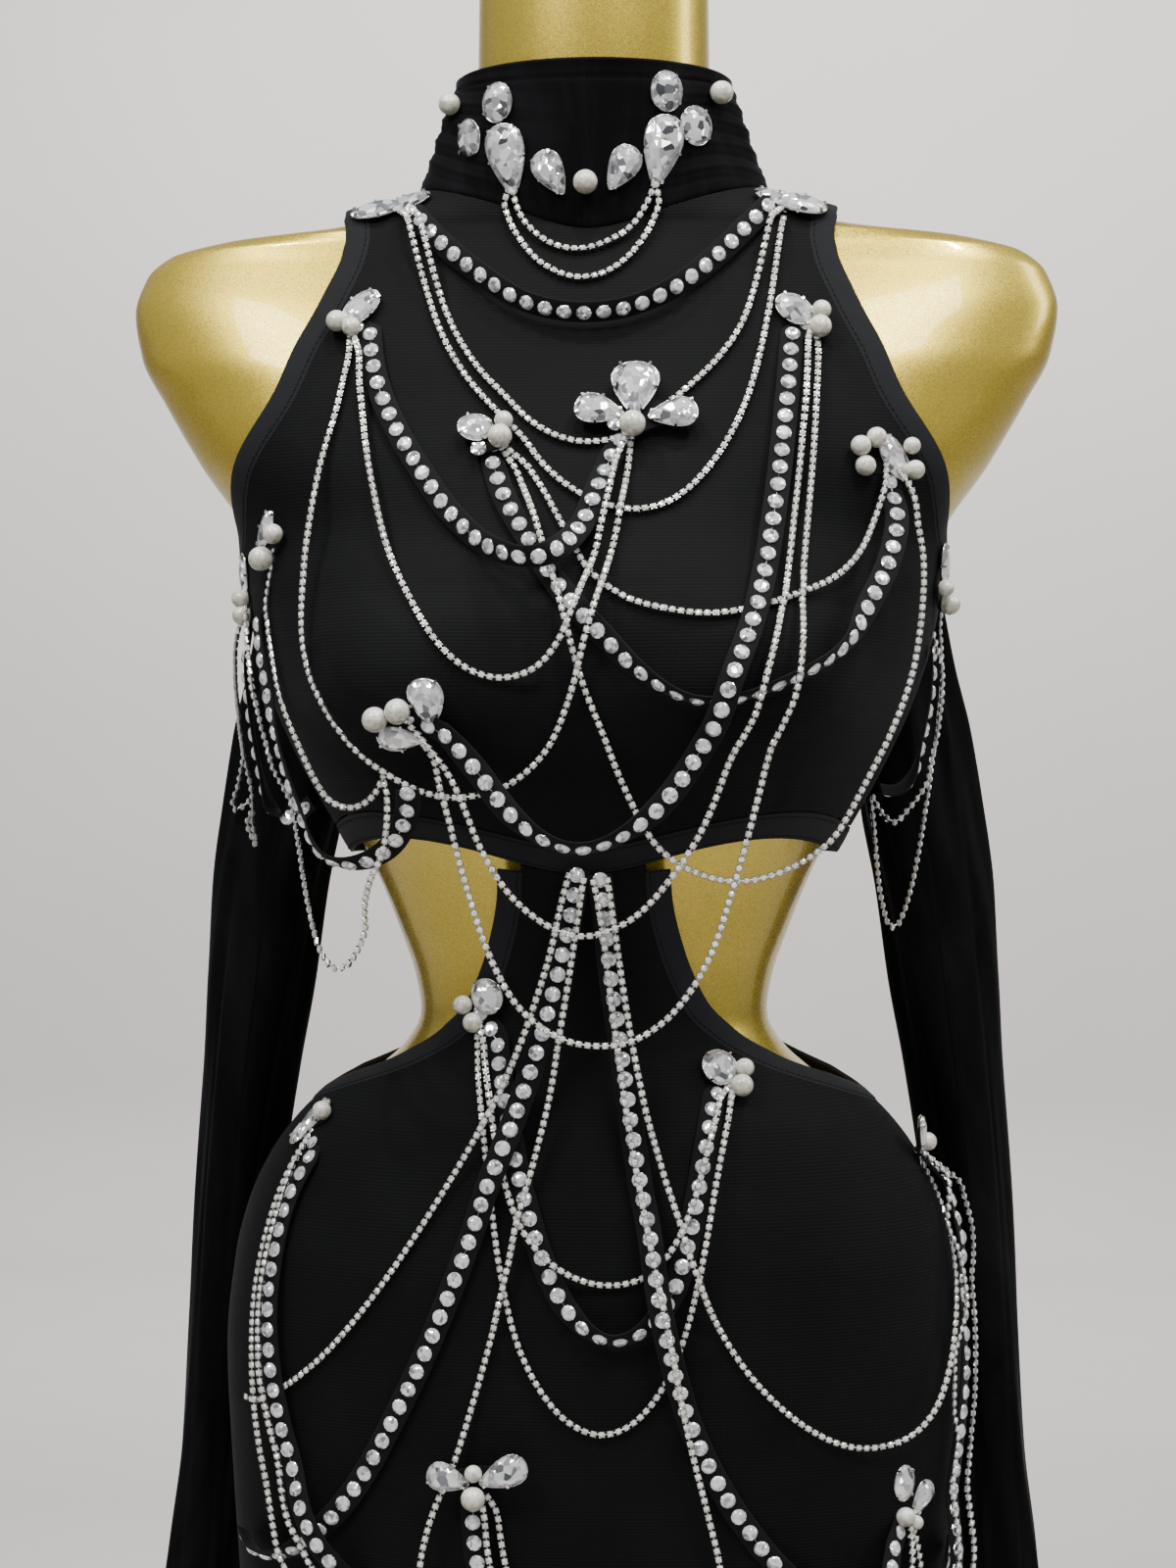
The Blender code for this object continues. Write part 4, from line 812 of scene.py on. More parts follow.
def makeStrip(name, rows, closed, material, mirrored):
    # the strip is a little fuller in its middle and rolls under at both edges
    gap, wall = clothLook["gap"], clothLook["wall"]
    inner, outer = [], []
    for base, normal, share in rows:
        inner.append(base + normal * (gap + edgingLook["under"]))
        outer.append(base + normal * (gap + wall + edgingLook["over"] + edgingLook["full"] * fullness(share)))
    inner, outer = np.array(inner), np.array(outer)
    if mirrored:
        flip = (-1.0, 1.0, 1.0)
        inner, outer = inner[:, ::-1] * flip, outer[:, ::-1] * flip
    u = lengthAcross(outer) * mm
    v = np.repeat(np.linspace(0, clothLook["bindingWidth"] * mm, len(rows))[:, None], outer.shape[1], axis=1)
    return wallOf(name, inner, outer, material, ring=closed, uvs=np.stack([u, v], axis=-1)), outer


def armholeEdge():
    front = [(math.radians(a), z) for _, z, a in bodiceFrontRows[3:]]
    back = [(math.pi - math.radians(a), z) for _, z, a in bodiceBackRows[2:]]
    front[0] = back[0] = (math.pi / 2, 86.0)
    back[-1] = (math.pi / 2, 276.5)
    return np.array(back + front[::-1][:-1])


def cutoutEdge():
    corner = math.radians(clothLook["panelEdge"])
    top = float(bodiceFoot(corner)) - clothLook["bandWidth"]
    share = (4.5 - 3 * clothLook["seam"]) / (top - 3 * clothLook["seam"] - skirtRows[0][1])
    front = [(corner + share * math.radians(skirtRows[0][2] - clothLook["panelEdge"]), top - 4.5)]
    front += [(math.radians(a), z) for _, z, a in skirtRows[:10]]
    front[-1] = (math.pi / 2, front[-1][1])
    behind = [(math.pi - a, z) for a, z in front[::-1][1:-1]]
    behind.append((math.pi - front[0][0], -19.0 - clothLook["bandWidth"] - 4.5))
    return np.array(front + behind)


def closedThrough(points, count):
    # a closed smooth curve, so the points wrap round
    p = np.array(points, float)
    return smoothPieces(np.concatenate([p[-1:], p, p[:2]]), lambda b, c: count)


def makeBindings():
    made = []
    flip = np.array((-1, 1, 1))
    for name, edge, closed in (("armholeBinding", closedThrough(armholeEdge(), 8), True),
                               ("cutoutBinding", throughPoints(cutoutEdge(), 8), False)):
        node = "armhole_binding" if closed else "cutout_binding"
        rows = stripBeside(edge, closed, -edgingLook["past"], clothLook["bindingWidth"] + edgingLook["spare"])
        seat, normals, _ = stripBeside(edge, closed, edgingLook["stitchIn"], edgingLook["stitchIn"], 1)[0]
        line = seat + normals * (clothLook["gap"] + clothLook["wall"] + edgingLook["stitchUp"])
        for side, mirrored in (("Right", False), ("Left", True)):
            piece, outer = makeStrip(name + side, rows, closed, binding, mirrored)
            made.append(dress(piece, "binding", node + "_" + side.lower()))
            way = flip if mirrored else 1
            stitches = makeStitches(name + side + "Stitches", line * way, normals * way, closed)
            declareCloth(outer, ["dress_form"], closed)
    return made


def makeBand():
    angle = np.linspace(0, 2 * math.pi, 360, endpoint=False)
    top = bodiceFoot(angle) - clothLook["seam"]
    inner, outer, uvs = [], [], []
    level, face = np.ones(len(angle)), clothLook["gap"] + clothLook["wall"]
    for share in np.linspace(0, 1, 8):
        z = top - clothLook["bandWidth"] * (1 - share)
        full = edgingLook["bandFull"] * fullness(share)
        inner.append(figurePoint(angle, z, level * (clothLook["gap"] + edgingLook["under"])))
        outer.append(figurePoint(angle, z, level * (face + edgingLook["bandOver"] + full)))
        rise = level * (share * clothLook["bandWidth"] * mm)
        uvs.append(np.stack([angle * edgingLook["bandRadius"], rise], axis=-1))
    piece = wallOf("underbustBand", np.array(inner), np.array(outer), binding, ring=True, uvs=np.array(uvs))
    dress(piece, "binding", "underbust_band")
    inward = edgingLook["bandStitchIn"]
    for name, down in (("bandStitchesTop", inward), ("bandStitchesFoot", clothLook["bandWidth"] - inward)):
        z = top - down
        line = figurePoint(angle, z, level * (face + edgingLook["bandStitchUp"]))
        normals = figurePoint(angle, z, level) - figurePoint(angle, z)
        makeStitches(name, line, normals, True)
    declareCloth(np.array(outer), ["dress_form"], True)
    return piece


# The collar: a high velvet stand with a rolled top edge and soft crush at its sides

collarLook = {
    "height": 336.0,
    "side": 64.0,
    "front": 54.0,
    "back": 71.0,
    "fold": 1.6,
    "crush": 0.9,
    "hem": 9.0,
    "tallFront": 78.0,
    "tallBack": 50.0,
    "columns": 320,
    "rows": 72,
    "radius": 0.07,         # for its pattern, in metres
}


def collarPoints(angle, share, out):
    foot = figurePoint(angle, neckline(angle) + clothLook["seam"], clothLook["gap"] + out)
    depth = np.where(np.cos(angle) > 0, collarLook["front"], collarLook["back"])
    top = np.stack([
        (collarLook["side"] + out) * np.sin(angle),
        -(depth + out) * np.cos(angle),
        np.full_like(angle, collarLook["height"]),
    ], axis=-1)
    place = foot + (top - foot) * share[..., None]
    fold = collarLook["fold"] * np.sin(angle) ** 4 * np.cos(14 * angle)
    away = np.stack([np.sin(angle), -np.cos(angle), np.zeros_like(angle)], axis=-1)
    return place + away * (fold * np.sin(math.pi * share) ** 2)[..., None]


def makeCollar():
    angle = np.linspace(0, 2 * math.pi, collarLook["columns"], endpoint=False)
    angles, shares = np.meshgrid(angle, np.linspace(0, 1, collarLook["rows"]))
    tall = np.where(np.cos(angles) > 0, collarLook["tallFront"], collarLook["tallBack"])
    down = (1 - shares) * tall
    side = np.sin(angles) ** 2
    waves = np.sin(down * 0.42 + 2.2 * np.sin(angles * 3) + 0.8 * np.sin(angles * 7)) ** 3
    crush = collarLook["crush"] * side * waves * np.clip(shares * 6, 0, 1) * np.clip(down / 12, 0, 1)
    hem = -0.55 * np.exp(-(((down - collarLook["hem"]) / 0.9) ** 2))
    roll = 0.7 * np.exp(-((down / 2.4) ** 2)) - 1.1 * np.exp(-((down / 0.7) ** 2))
    seam = -0.5 * np.exp(-(((shares * tall) / 1.0) ** 2))
    inner = collarPoints(angles, shares, np.zeros_like(angles))
    outer = collarPoints(angles, shares, clothLook["wall"] + crush + hem + roll + seam)
    uvs = np.stack([angles * collarLook["radius"], down * mm], axis=-1)
    piece = wallOf("collarCloth", inner, outer, velvet, ring=True, uvs=uvs)
    declareCloth(outer, ["dress_form"], True)
    return dress(piece, "velvet", "collar")


# Sleeves hanging empty from the armholes: height, centre to the side, centre behind, half width, half depth

sleeveLook = {"columns": 120, "rows": 115, "fold": 0.10, "clear": 1.1, "hem": 16.0}
sleeveTable = (
    (92, 148, 58, 20, 15),
    (60, 150, 58, 24, 18),
    (25, 154, 60, 28, 20),
    (-10, 158, 62, 29, 20),
    (-50, 165, 62, 28, 20),
    (-94, 170, 62, 27, 19),
    (-141, 176, 63, 24, 18),
    (-200, 183, 64, 22, 17),
    (-266, 188, 65, 21, 17),
    (-330, 192, 65, 21, 17),
    (-376, 195, 64, 23, 18),
    (-420, 197, 63, 26, 20),
    (-460, 198, 62, 29, 21),
)


def sleeveGrid(side, inward):
    table = np.array(sleeveTable, float)[::-1]
    heights = np.linspace(table[0, 0], table[-1, 0], sleeveLook["rows"])
    turn = np.linspace(0, 2 * math.pi, sleeveLook["columns"], endpoint=False)
    columns = [smoothColumn(table[:, 0], table[:, k], heights) for k in range(1, 5)]
    rings = []
    for n, z in enumerate(heights):
        out, behind, halfWidth, halfDepth = (c[n] for c in columns)
        lobes = 1 + sleeveLook["fold"] * np.cos(3 * turn + 0.8 + z / 160.0)
        swell = 0.5 + 0.5 * math.sin(z / 83.0 + 1.0)
        wrinkle = (
            0.9 * np.sin(9 * turn + z / 47.0 + 1.3 * math.sin(z / 61.0)) * swell
            + 0.6 * np.sin(4 * turn - z / 29.0) * np.cos(2 * turn + z / 90.0) ** 2
            - 1.1 * np.exp(-((((turn + z / 900.0) % (2 * math.pi) - 5.5) / 0.10) ** 2))
            - 0.9 * np.exp(-((((turn - z / 1100.0) % (2 * math.pi) - 0.9) / 0.09) ** 2))
        )
        up = z - heights[0]
        cuff = 0.5 * math.exp(-((up / 3.0) ** 2)) - 0.55 * math.exp(-(((up - sleeveLook["hem"]) / 1.1) ** 2))
        reachOut = wrinkle + cuff - inward
        x = out + (halfWidth * lobes + reachOut) * np.sin(turn)
        y = behind - (halfDepth * lobes + reachOut) * np.cos(turn)
        angle = np.arctan2(x, -y)
        reach = np.hypot(x, y)
        least = figureRadius(angle, np.full_like(angle, z)) + clothLook["gap"] + clothLook["wall"]
        reach = np.maximum(reach, least + sleeveLook["clear"] + inward)
        level = np.full_like(x, z)
        rings.append(np.stack([reach * np.sin(angle) * side, -reach * np.cos(angle), level], axis=-1))
    rings = np.array(rings)
    return rings if side > 0 else rings[:, ::-1]


def makeSleeves():
    made = []
    for name, side, node in (("sleeveRight", 1, "sleeve_right"), ("sleeveLeft", -1, "sleeve_left")):
        inner, outer = sleeveGrid(side, clothLook["wall"]), sleeveGrid(side, 0.0)
        uvs = np.stack([lengthAcross(outer) * mm, (outer[..., 2] + 600.0) * mm], axis=-1)
        piece = wallOf(name, inner, outer, velvet, ring=True, uvs=uvs)
        declareCloth(outer, ["armhole_binding_" + node.split("_")[1]], True)
        made.append(dress(piece, "velvet", node))
    return made


# Geometry Nodes: one tree sets stones, cups or stitches along a path, each turned to it and to its facing

def setAlongPathTree():
    tree = bpy.data.node_groups.new("setAlongPath", "GeometryNodeTree")
    for name, kind, value in (
        ("Geometry", "Geometry", None),
        ("Pitch", "Float", 0.0044),
        ("Setting", "Object", None),
        ("Stone", "Object", None),
        ("Setting Material", "Material", None),
        ("Stone Material", "Material", None),
        ("Wire Radius", "Float", 0.0003),
        ("Looseness", "Float", 0.1),
        ("Seed", "Int", 3),
    ):
        made = tree.interface.new_socket(name=name, in_out="INPUT", socket_type="NodeSocket" + kind)
        if value is not None:
            made.default_value = value
    tree.interface.new_socket(name="Geometry", in_out="OUTPUT", socket_type="NodeSocketGeometry")
    given = tree.nodes.new("NodeGroupInput").outputs

    def node(kind, settings=None, sources=None, **values):
        return addNode(tree, kind, settings, sources, **values)

    path = node("GeometryNodeMeshToCurve", None, {0: given["Geometry"]})
    spaced = node("GeometryNodeResampleCurve", {"mode": "LENGTH"},
                  {"Curve": path.outputs[0], "Length": given["Pitch"]})
    facing, along = (
        node("GeometryNodeInputNamedAttribute", {"data_type": "FLOAT_VECTOR"}, Name=name).outputs["Attribute"]
        for name in ("facing", "along")
    )
    up = node("FunctionNodeAlignRotationToVector", {"axis": "Z"}, {"Vector": facing})
    ahead = node("FunctionNodeAlignRotationToVector", {"axis": "X", "pivot_axis": "Z"},
                 {"Rotation": up.outputs["Rotation"], "Vector": along})

    # every stone sits a little unevenly
    back = node("ShaderNodeMath", {"operation": "MULTIPLY"}, {0: given["Looseness"]})
    back.inputs[1].default_value = -1.0
    low = node("ShaderNodeCombineXYZ", None, dict.fromkeys("XYZ", back.outputs[0]))
    high = node("ShaderNodeCombineXYZ", None, dict.fromkeys("XYZ", given["Looseness"]))
    chance = node("FunctionNodeRandomValue", {"data_type": "FLOAT_VECTOR"},
                  {"Min": low.outputs[0], "Max": high.outputs[0], "Seed": given["Seed"]})
    turn = node("FunctionNodeEulerToRotation", None, {0: chance.outputs[0]})
    loose = node("FunctionNodeRotateRotation", {"rotation_space": "LOCAL"},
                 {"Rotation": ahead.outputs["Rotation"], "Rotate By": turn.outputs[0]})
    join = node("GeometryNodeJoinGeometry")

    def painted(source, finish):
        paint = node("GeometryNodeSetMaterial", None, {"Geometry": source, "Material": given[finish]})
        tree.links.new(paint.outputs[0], join.inputs[0])

    for shape in ("Setting", "Stone"):
        fetch = node("GeometryNodeObjectInfo", None, {"Object": given[shape]})
        place = node("GeometryNodeInstanceOnPoints", None, {
            "Points": spaced.outputs[0], "Instance": fetch.outputs["Geometry"], "Rotation": loose.outputs[0],
        })
        real = node("GeometryNodeRealizeInstances", None, {0: place.outputs[0]})
        painted(real.outputs[0], shape + " Material")

    # the thin wire that joins them
    ring = node("GeometryNodeCurvePrimitiveCircle", None, {"Radius": given["Wire Radius"]}, Resolution=5)
    wire = node("GeometryNodeCurveToMesh", None,
                {"Curve": spaced.outputs[0], "Profile Curve": ring.outputs[0]}, Fill_Caps=True)
    painted(wire.outputs[0], "Setting Material")
    node("NodeGroupOutput", None, {0: join.outputs[0]})
    return tree


def alongPath(name, lines, values):
    # lines are (points, facing, along) in mm; values are the tree's named inputs
    points, edges, facing, along = [], [], [], []
    for places, face, ahead in lines:
        start = len(points)
        points.extend(toMetres(places).tolist())
        edges += [(start + k, start + k + 1) for k in range(len(places) - 1)]
        facing.extend(np.asarray(face).tolist())
        along.extend(np.asarray(ahead).tolist())
    mesh = bpy.data.meshes.new(name)
    mesh.from_pydata(points, edges, [])
    for label, data in (("facing", facing), ("along", along)):
        stored = mesh.attributes.new(label, "FLOAT_VECTOR", "POINT")
        stored.data.foreach_set("vector", np.array(data, np.float32).ravel())
    thing = placed(name, mesh)
    modifier = thing.modifiers.new("along", "NODES")
    modifier.node_group = alongTree
    for item in alongTree.interface.items_tree:
        if item.in_out == "INPUT" and item.name in values:
            modifier[item.identifier] = values[item.name]
    bakeModifiers(thing)
    for stale in ("facing", "along"):
        if stale in thing.data.attributes:
            thing.data.attributes.remove(thing.data.attributes[stale])
    return thing


def smallShape(name, rings, sides, turned=0.0):
    # a small turned shape from rings of radius, height and part of a step turned, in mm
    points = []
    for radius, z, offset in rings:
        for k in range(sides):
            a = 2 * math.pi * (k + offset) / sides + turned
            points.append((radius * math.cos(a), radius * math.sin(a), z))
    mesh = bpy.data.meshes.new(name)
    mesh.from_pydata((np.array(points) * mm).tolist(), [], ringFaces([ring[2] for ring in rings], sides))
    mesh.update()
    return placed(name, mesh)


chainLook = {
    "pitch": 3.85,          # from one cup to the next
    "cup": 2.05,            # from a cup's middle to its corner
    "wire": 0.42,
    "looseness": 0.09,
    "seed": 11,
}
strapLook = {
    "width": 11.0,
    "tape": 1.1,
    "height": 3.2,
    "twist": math.radians(65.0),
    "ease": 1.0,
    "pitch": 8.9,
    "stone": 3.65,          # stone radius
    "looseness": 0.07,
    "seed": 5,
}
stitchLook = {"pitch": 3.1, "long": 2.1, "thick": 0.32}


def makeSmallShapes():
    c = chainLook["cup"]
    s = strapLook["stone"]
    shapes = {
        # a chain cup with its rim, four-sided so that its corners read as claws
        "cup": smallShape("cup", [(c * 0.72, -1.15, 0), (c, -0.35, 0), (c, 0.35, 0), (c * 0.92, 0.55, 0),
                                  (c * 0.84, 0.2, 0)], 4, turned=math.pi / 4),
        "chip": smallShape("chip", [(c * 0.62, 0.1, 0), (c * 0.66, 0.42, 0), (c * 0.42, 1.0, 0.5)], 8),
        # flat-backed stone on a strap with its dark foil edge
        "bezel": smallShape("bezel", [(s * 0.98, 0.0, 0), (s, 0.35, 0), (s * 0.97, 0.62, 0),
                                      (s * 0.9, 0.5, 0)], 12),
        "stone": smallShape("stone", [(s * 0.95, 0.3, 0), (s * 0.97, 0.75, 0), (s * 0.76, 1.45, 0.5),
                                      (s * 0.48, 1.95, 0)], 12),
        "stitch": smallShape("stitch", [(0.35, -0.5, 0), (1, -0.25, 0), (1, 0.25, 0), (0.35, 0.5, 0)], 6),
    }
    along = stitchLook["long"]
    for vertex in shapes["stitch"].data.vertices:
        x, y, z = vertex.co
        vertex.co = (z * along, x * stitchLook["thick"] * 0.9, y * stitchLook["thick"] * 0.6)
    shape = bmesh.new()
    shape.from_mesh(shapes["stitch"].data)
    bmesh.ops.recalc_face_normals(shape, faces=shape.faces)
    shape.to_mesh(shapes["stitch"].data)
    shape.free()
    return shapes


def makeStitches(name, line, normals, closed):
    # one row of thread stitches along a line on the cloth
    if closed:
        line, normals = np.concatenate([line, line[:1]]), np.concatenate([normals, normals[:1]])
    ahead = unit(np.gradient(line, axis=0))
    piece = alongPath(name, [(line, normals, ahead)], {
        "Pitch": stitchLook["pitch"] * mm, "Setting": shapes["stitch"], "Stone": shapes["stitch"],
        "Setting Material": thread, "Stone Material": thread, "Wire Radius": 0.00008, "Looseness": 0.02,
        "Seed": 2,
    })
    return dress(piece, "binding")


# Drapes on the front drawing, in pixels; they are laid in the order of layOrder

straps = {
    "strap_necklace": (
        (424, 220), (440, 242), (465, 268), (495, 292), (530, 315), (565, 326), (600, 329), (640, 324),
        (680, 308), (712, 286), (742, 258), (765, 234), (785, 214),
    ),
    "strap_chest_right": (
        (503, 472), (511, 500), (525, 530), (542, 557), (560, 587), (585, 620), (615, 650), (645, 680),
        (680, 703), (712, 713), (750, 712), (790, 700), (830, 680), (865, 650), (890, 610), (908, 570),
        (915, 530), (908, 497),
    ),
    "strap_chest_left": (
        (378, 340), (381, 370), (390, 405), (408, 445), (432, 485), (462, 530), (495, 565), (525, 583),
        (550, 588), (575, 575), (592, 548), (604, 520), (613, 495), (622, 470),
    ),
    "strap_long": (
        (808, 342), (803, 400), (797, 460), (790, 520), (780, 580), (766, 640), (748, 690), (728, 740),
        (700, 790), (665, 833), (625, 860), (590, 868), (555, 858), (520, 830), (490, 790), (468, 762),
        (452, 745),
    ),
    "strap_under_arm_left": (
        (424, 782), (422, 812), (413, 845), (395, 872), (370, 884), (342, 874), (318, 840), (300, 795),
        (285, 740), (274, 680), (266, 630),
    ),
    "strap_side_right": (
        (948, 660), (942, 720), (931, 770), (916, 798), (900, 808), (886, 803),
    ),
    "strap_side_left": (
        (254, 645), (258, 700), (266, 760), (278, 808), (296, 834), (314, 834), (328, 818),
    ),
    "strap_sweep_left": (
        (590, 884), (582, 940), (568, 1000), (552, 1060), (536, 1110), (515, 1170), (492, 1235),
        (468, 1300), (438, 1375), (405, 1445), (370, 1510), (330, 1562), (295, 1585), (270, 1580),
        (258, 1560),
    ),
    "strap_sweep_right": (
        (612, 884), (618, 940), (624, 1000), (633, 1060), (642, 1130), (652, 1200), (662, 1260),
        (672, 1330), (685, 1390), (703, 1450), (725, 1500), (755, 1550), (795, 1600), (850, 1635),
        (905, 1640), (945, 1610), (963, 1570),
    ),
    "strap_waist": (
        (509, 1060), (512, 1092), (519, 1140), (528, 1190), (540, 1240), (556, 1290), (575, 1330),
        (600, 1358), (628, 1368), (660, 1355), (685, 1322), (700, 1275), (711, 1220), (720, 1165),
        (728, 1120),
    ),
    "strap_hip_left": (
        (318, 1184), (305, 1210), (291, 1250), (282, 1300), (278, 1350), (282, 1410), (295, 1470),
        (315, 1525), (345, 1580), (372, 1625),
    ),
    "strap_hip_right": (
        (946, 1203), (956, 1225), (968, 1275), (976, 1330), (979, 1390), (976, 1440), (970, 1490),
        (963, 1540), (953, 1590), (938, 1640),
    ),
    "strap_thigh": (
        (483, 1542), (488, 1590), (505, 1650), (540, 1705), (595, 1745), (660, 1765), (725, 1760),
        (790, 1735), (840, 1690), (875, 1640), (895, 1600), (906, 1575),
    ),
}
# two chains that hang side by side between the same two brooches
loops = {
    "chains_neck": (
        (
            (418, 230), (432, 285), (450, 340), (475, 385), (505, 420), (532, 447), (556, 478), (585, 502),
            (620, 518), (655, 522), (690, 510), (722, 480), (748, 440), (768, 390), (784, 320), (797, 234),
        ),
        (
            (430, 228), (444, 285), (462, 335), (487, 376), (515, 406), (540, 431), (567, 447), (600, 454),
            (640, 446), (675, 420), (705, 395), (735, 365), (758, 330), (774, 280), (786, 232),
        ),
    ),
    "chains_chest_right": (
        (
            (527, 480), (545, 530), (560, 580), (572, 620), (585, 665), (598, 705), (615, 745), (632, 790),
            (650, 830), (672, 865), (705, 888), (745, 899), (785, 894), (825, 875), (855, 848), (885, 795),
            (910, 745), (930, 690), (940, 630), (942, 570), (932, 525), (918, 492),
        ),
        (
            (538, 476), (556, 505), (578, 545), (602, 585), (640, 612), (685, 624), (730, 628), (775, 621),
            (815, 607), (850, 590), (878, 562), (893, 525), (898, 490),
        ),
    ),
    "chains_chest_left": (
        (
            (357, 364), (345, 420), (328, 480), (314, 550), (310, 620), (318, 680), (338, 725), (368, 765),
            (405, 795), (445, 812), (485, 812), (525, 797), (560, 760), (583, 705), (600, 650), (618, 590),
            (632, 530), (641, 478),
        ),
        (
            (370, 367), (372, 430), (380, 490), (395, 555), (418, 610), (445, 655), (475, 682), (510, 692),
            (545, 683), (571, 656), (589, 620), (606, 575), (620, 520), (629, 476),
        ),
    ),
    "chains_long": (
        (
            (835, 356), (831, 430), (825, 520), (816, 600), (804, 680), (791, 740), (772, 820), (750, 900),
            (725, 975), (690, 1030), (650, 1060), (610, 1067), (570, 1058), (530, 1028), (500, 975),
            (475, 900), (457, 830), (443, 770),
        ),
        (
            (823, 354), (819, 430), (811, 520), (800, 600), (784, 665), (766, 720), (745, 775), (722, 835),
            (695, 882), (655, 930), (620, 950), (590, 955), (555, 942), (520, 912), (492, 868), (470, 812),
            (455, 766),
        ),
    ),
    "chains_under_arm_left": (
        (
            (405, 780), (400, 830), (391, 890), (378, 950), (360, 985), (345, 988), (330, 965), (318, 915),
            (308, 850), (297, 790), (284, 735), (272, 675), (264, 618),
        ),
        (
            (394, 787), (383, 810), (362, 824), (338, 818), (319, 790), (303, 752), (291, 712), (282, 665),
            (275, 616),
        ),
    ),
    "chains_side_right": (
        (
            (957, 640), (954, 700), (947, 770), (937, 840), (926, 900), (912, 943), (902, 945), (893, 910),
            (888, 860), (885, 814),
        ),
        (
            (947, 645), (942, 710), (934, 775), (921, 820), (909, 840), (900, 833), (895, 812),
        ),
    ),
    "chains_side_left": (
        (
            (246, 643), (250, 720), (261, 790), (277, 842), (299, 862), (320, 850), (334, 828),
        ),
        (
            (256, 647), (261, 715), (273, 775), (290, 814), (308, 828), (324, 816),
        ),
    ),
    "chains_waist": (
        (
            (489, 1068), (491, 1112), (496, 1170), (503, 1235), (512, 1300), (527, 1365), (550, 1415),
            (580, 1450), (615, 1463), (650, 1448), (680, 1408), (702, 1350), (716, 1280), (729, 1200),
            (742, 1127),
        ),
        (
            (500, 1068), (503, 1112), (509, 1165), (520, 1215), (535, 1255), (560, 1285), (590, 1304),
            (620, 1311), (655, 1304), (682, 1278), (703, 1235), (718, 1180), (731, 1124),
        ),
    ),
    "chains_hip_left": (
        (
            (303, 1185), (288, 1220), (273, 1270), (263, 1330), (260, 1400), (264, 1460), (275, 1520),
            (292, 1575), (318, 1622), (345, 1655),
        ),
        (
            (312, 1188), (299, 1228), (286, 1275), (276, 1335), (273, 1395), (281, 1440), (296, 1490),
            (316, 1540), (336, 1580), (355, 1630),
        ),
    ),
    "chains_hip_right": (
        (
            (957, 1206), (966, 1250), (976, 1320), (981, 1400), (977, 1470), (970, 1530), (960, 1590),
            (944, 1650),
        ),
        (
            (945, 1206), (955, 1250), (965, 1320), (969, 1400), (966, 1470), (958, 1530), (947, 1590),
            (932, 1640),
        ),
    ),
    "chains_thigh": (
        (
            (497, 1540), (505, 1600), (530, 1690), (580, 1765), (645, 1812), (715, 1828), (790, 1812),
            (855, 1762), (900, 1690), (922, 1620), (928, 1577),
        ),
        (
            (508, 1540), (518, 1600), (543, 1675), (590, 1730), (650, 1765), (715, 1776), (785, 1760),
            (845, 1715), (885, 1655), (908, 1605), (916, 1577),
        ),
    ),
    "chains_collar": (
        (
            (514, 206), (524, 235), (545, 265), (570, 281), (590, 286), (615, 282), (640, 266), (660, 240),
            (673, 208),
        ),
        (
            (525, 203), (536, 228), (560, 250), (590, 257), (620, 249), (645, 232), (662, 204),
        ),
    ),
}
chains = {
    "chain_sweep_left": (
        (583, 882), (575, 915), (563, 970), (548, 1020), (530, 1070), (505, 1125), (470, 1190), (430, 1255),
        (385, 1320), (340, 1375), (300, 1410), (268, 1428), (252, 1424),
    ),
    "chain_sweep_right": (
        (619, 882), (627, 940), (637, 1010), (649, 1080), (664, 1150), (683, 1220), (703, 1285),
        (730, 1350), (770, 1410), (820, 1455), (870, 1476), (920, 1468), (952, 1440), (968, 1395),
        (972, 1340), (968, 1280), (958, 1235), (950, 1206),
    ),
    "chain_drop": (
        (597, 884), (590, 940), (581, 1000), (571, 1060), (561, 1120), (549, 1170), (537, 1220),
        (523, 1280), (506, 1350), (487, 1420), (465, 1490), (440, 1550), (428, 1610), (434, 1680),
        (465, 1740), (525, 1785), (590, 1800), (650, 1785), (705, 1740), (733, 1680), (736, 1610),
        (722, 1545), (705, 1480), (690, 1410), (677, 1340), (662, 1270), (650, 1200), (638, 1120),
        (627, 1040), (617, 960), (606, 884),
    ),
}
layOrder = (
    "strap_necklace", "chains_neck", "strap_chest_right", "chains_chest_right", "strap_chest_left",
    "chains_chest_left", "strap_long", "strap_under_arm_left", "chains_under_arm_left",
    "strap_side_left", "chains_side_left", "strap_side_right", "chains_side_right",
    "strap_waist", "chains_waist", "strap_sweep_left", "chain_sweep_left", "strap_sweep_right",
    "chain_drop", "chain_sweep_right", "chains_long", "strap_hip_left", "chains_hip_left",
    "strap_hip_right", "chains_hip_right", "strap_thigh", "chains_thigh", "chains_collar",
)
hungAtStart = ("chains_under_arm_left",)
layLook = {
    "gap": 1.0,
    "endGap": 0.8,
    "endRamp": 14.0,        # length over which an end comes down to the cloth
    "beside": -18.0,        # how far forward of the axis a drape at the side hangs
    "slope": 0.35,          # how steeply a drape rises over another
    "apart": 1.2,
    "passUnder": 13.0,      # a drape that would rise more passes under instead
    "rounds": 6,
    "step": 2.5,
    "chain": 1.5,           # half a chain's width
    "freeFrom": 2.0,        # height over the cloth at which a drape starts to face the front
    "freeOver": 6.0,
    "levelFrom": 0.55,      # a strap's run, level by this much, starts to turn on edge
    "levelOver": 0.4,
    "reach": 30.0,          # how near a brooch an end is carried on to it
    "under": 4.0,           # how far below a brooch's middle its drapes end
    "collarPoints": ((524, 192), (668, 184)),
}


def eyePoint():
    turn = photo["turn"]
    return Vector((photo["distance"] * math.sin(turn), -photo["distance"] * math.cos(turn), 0.0))


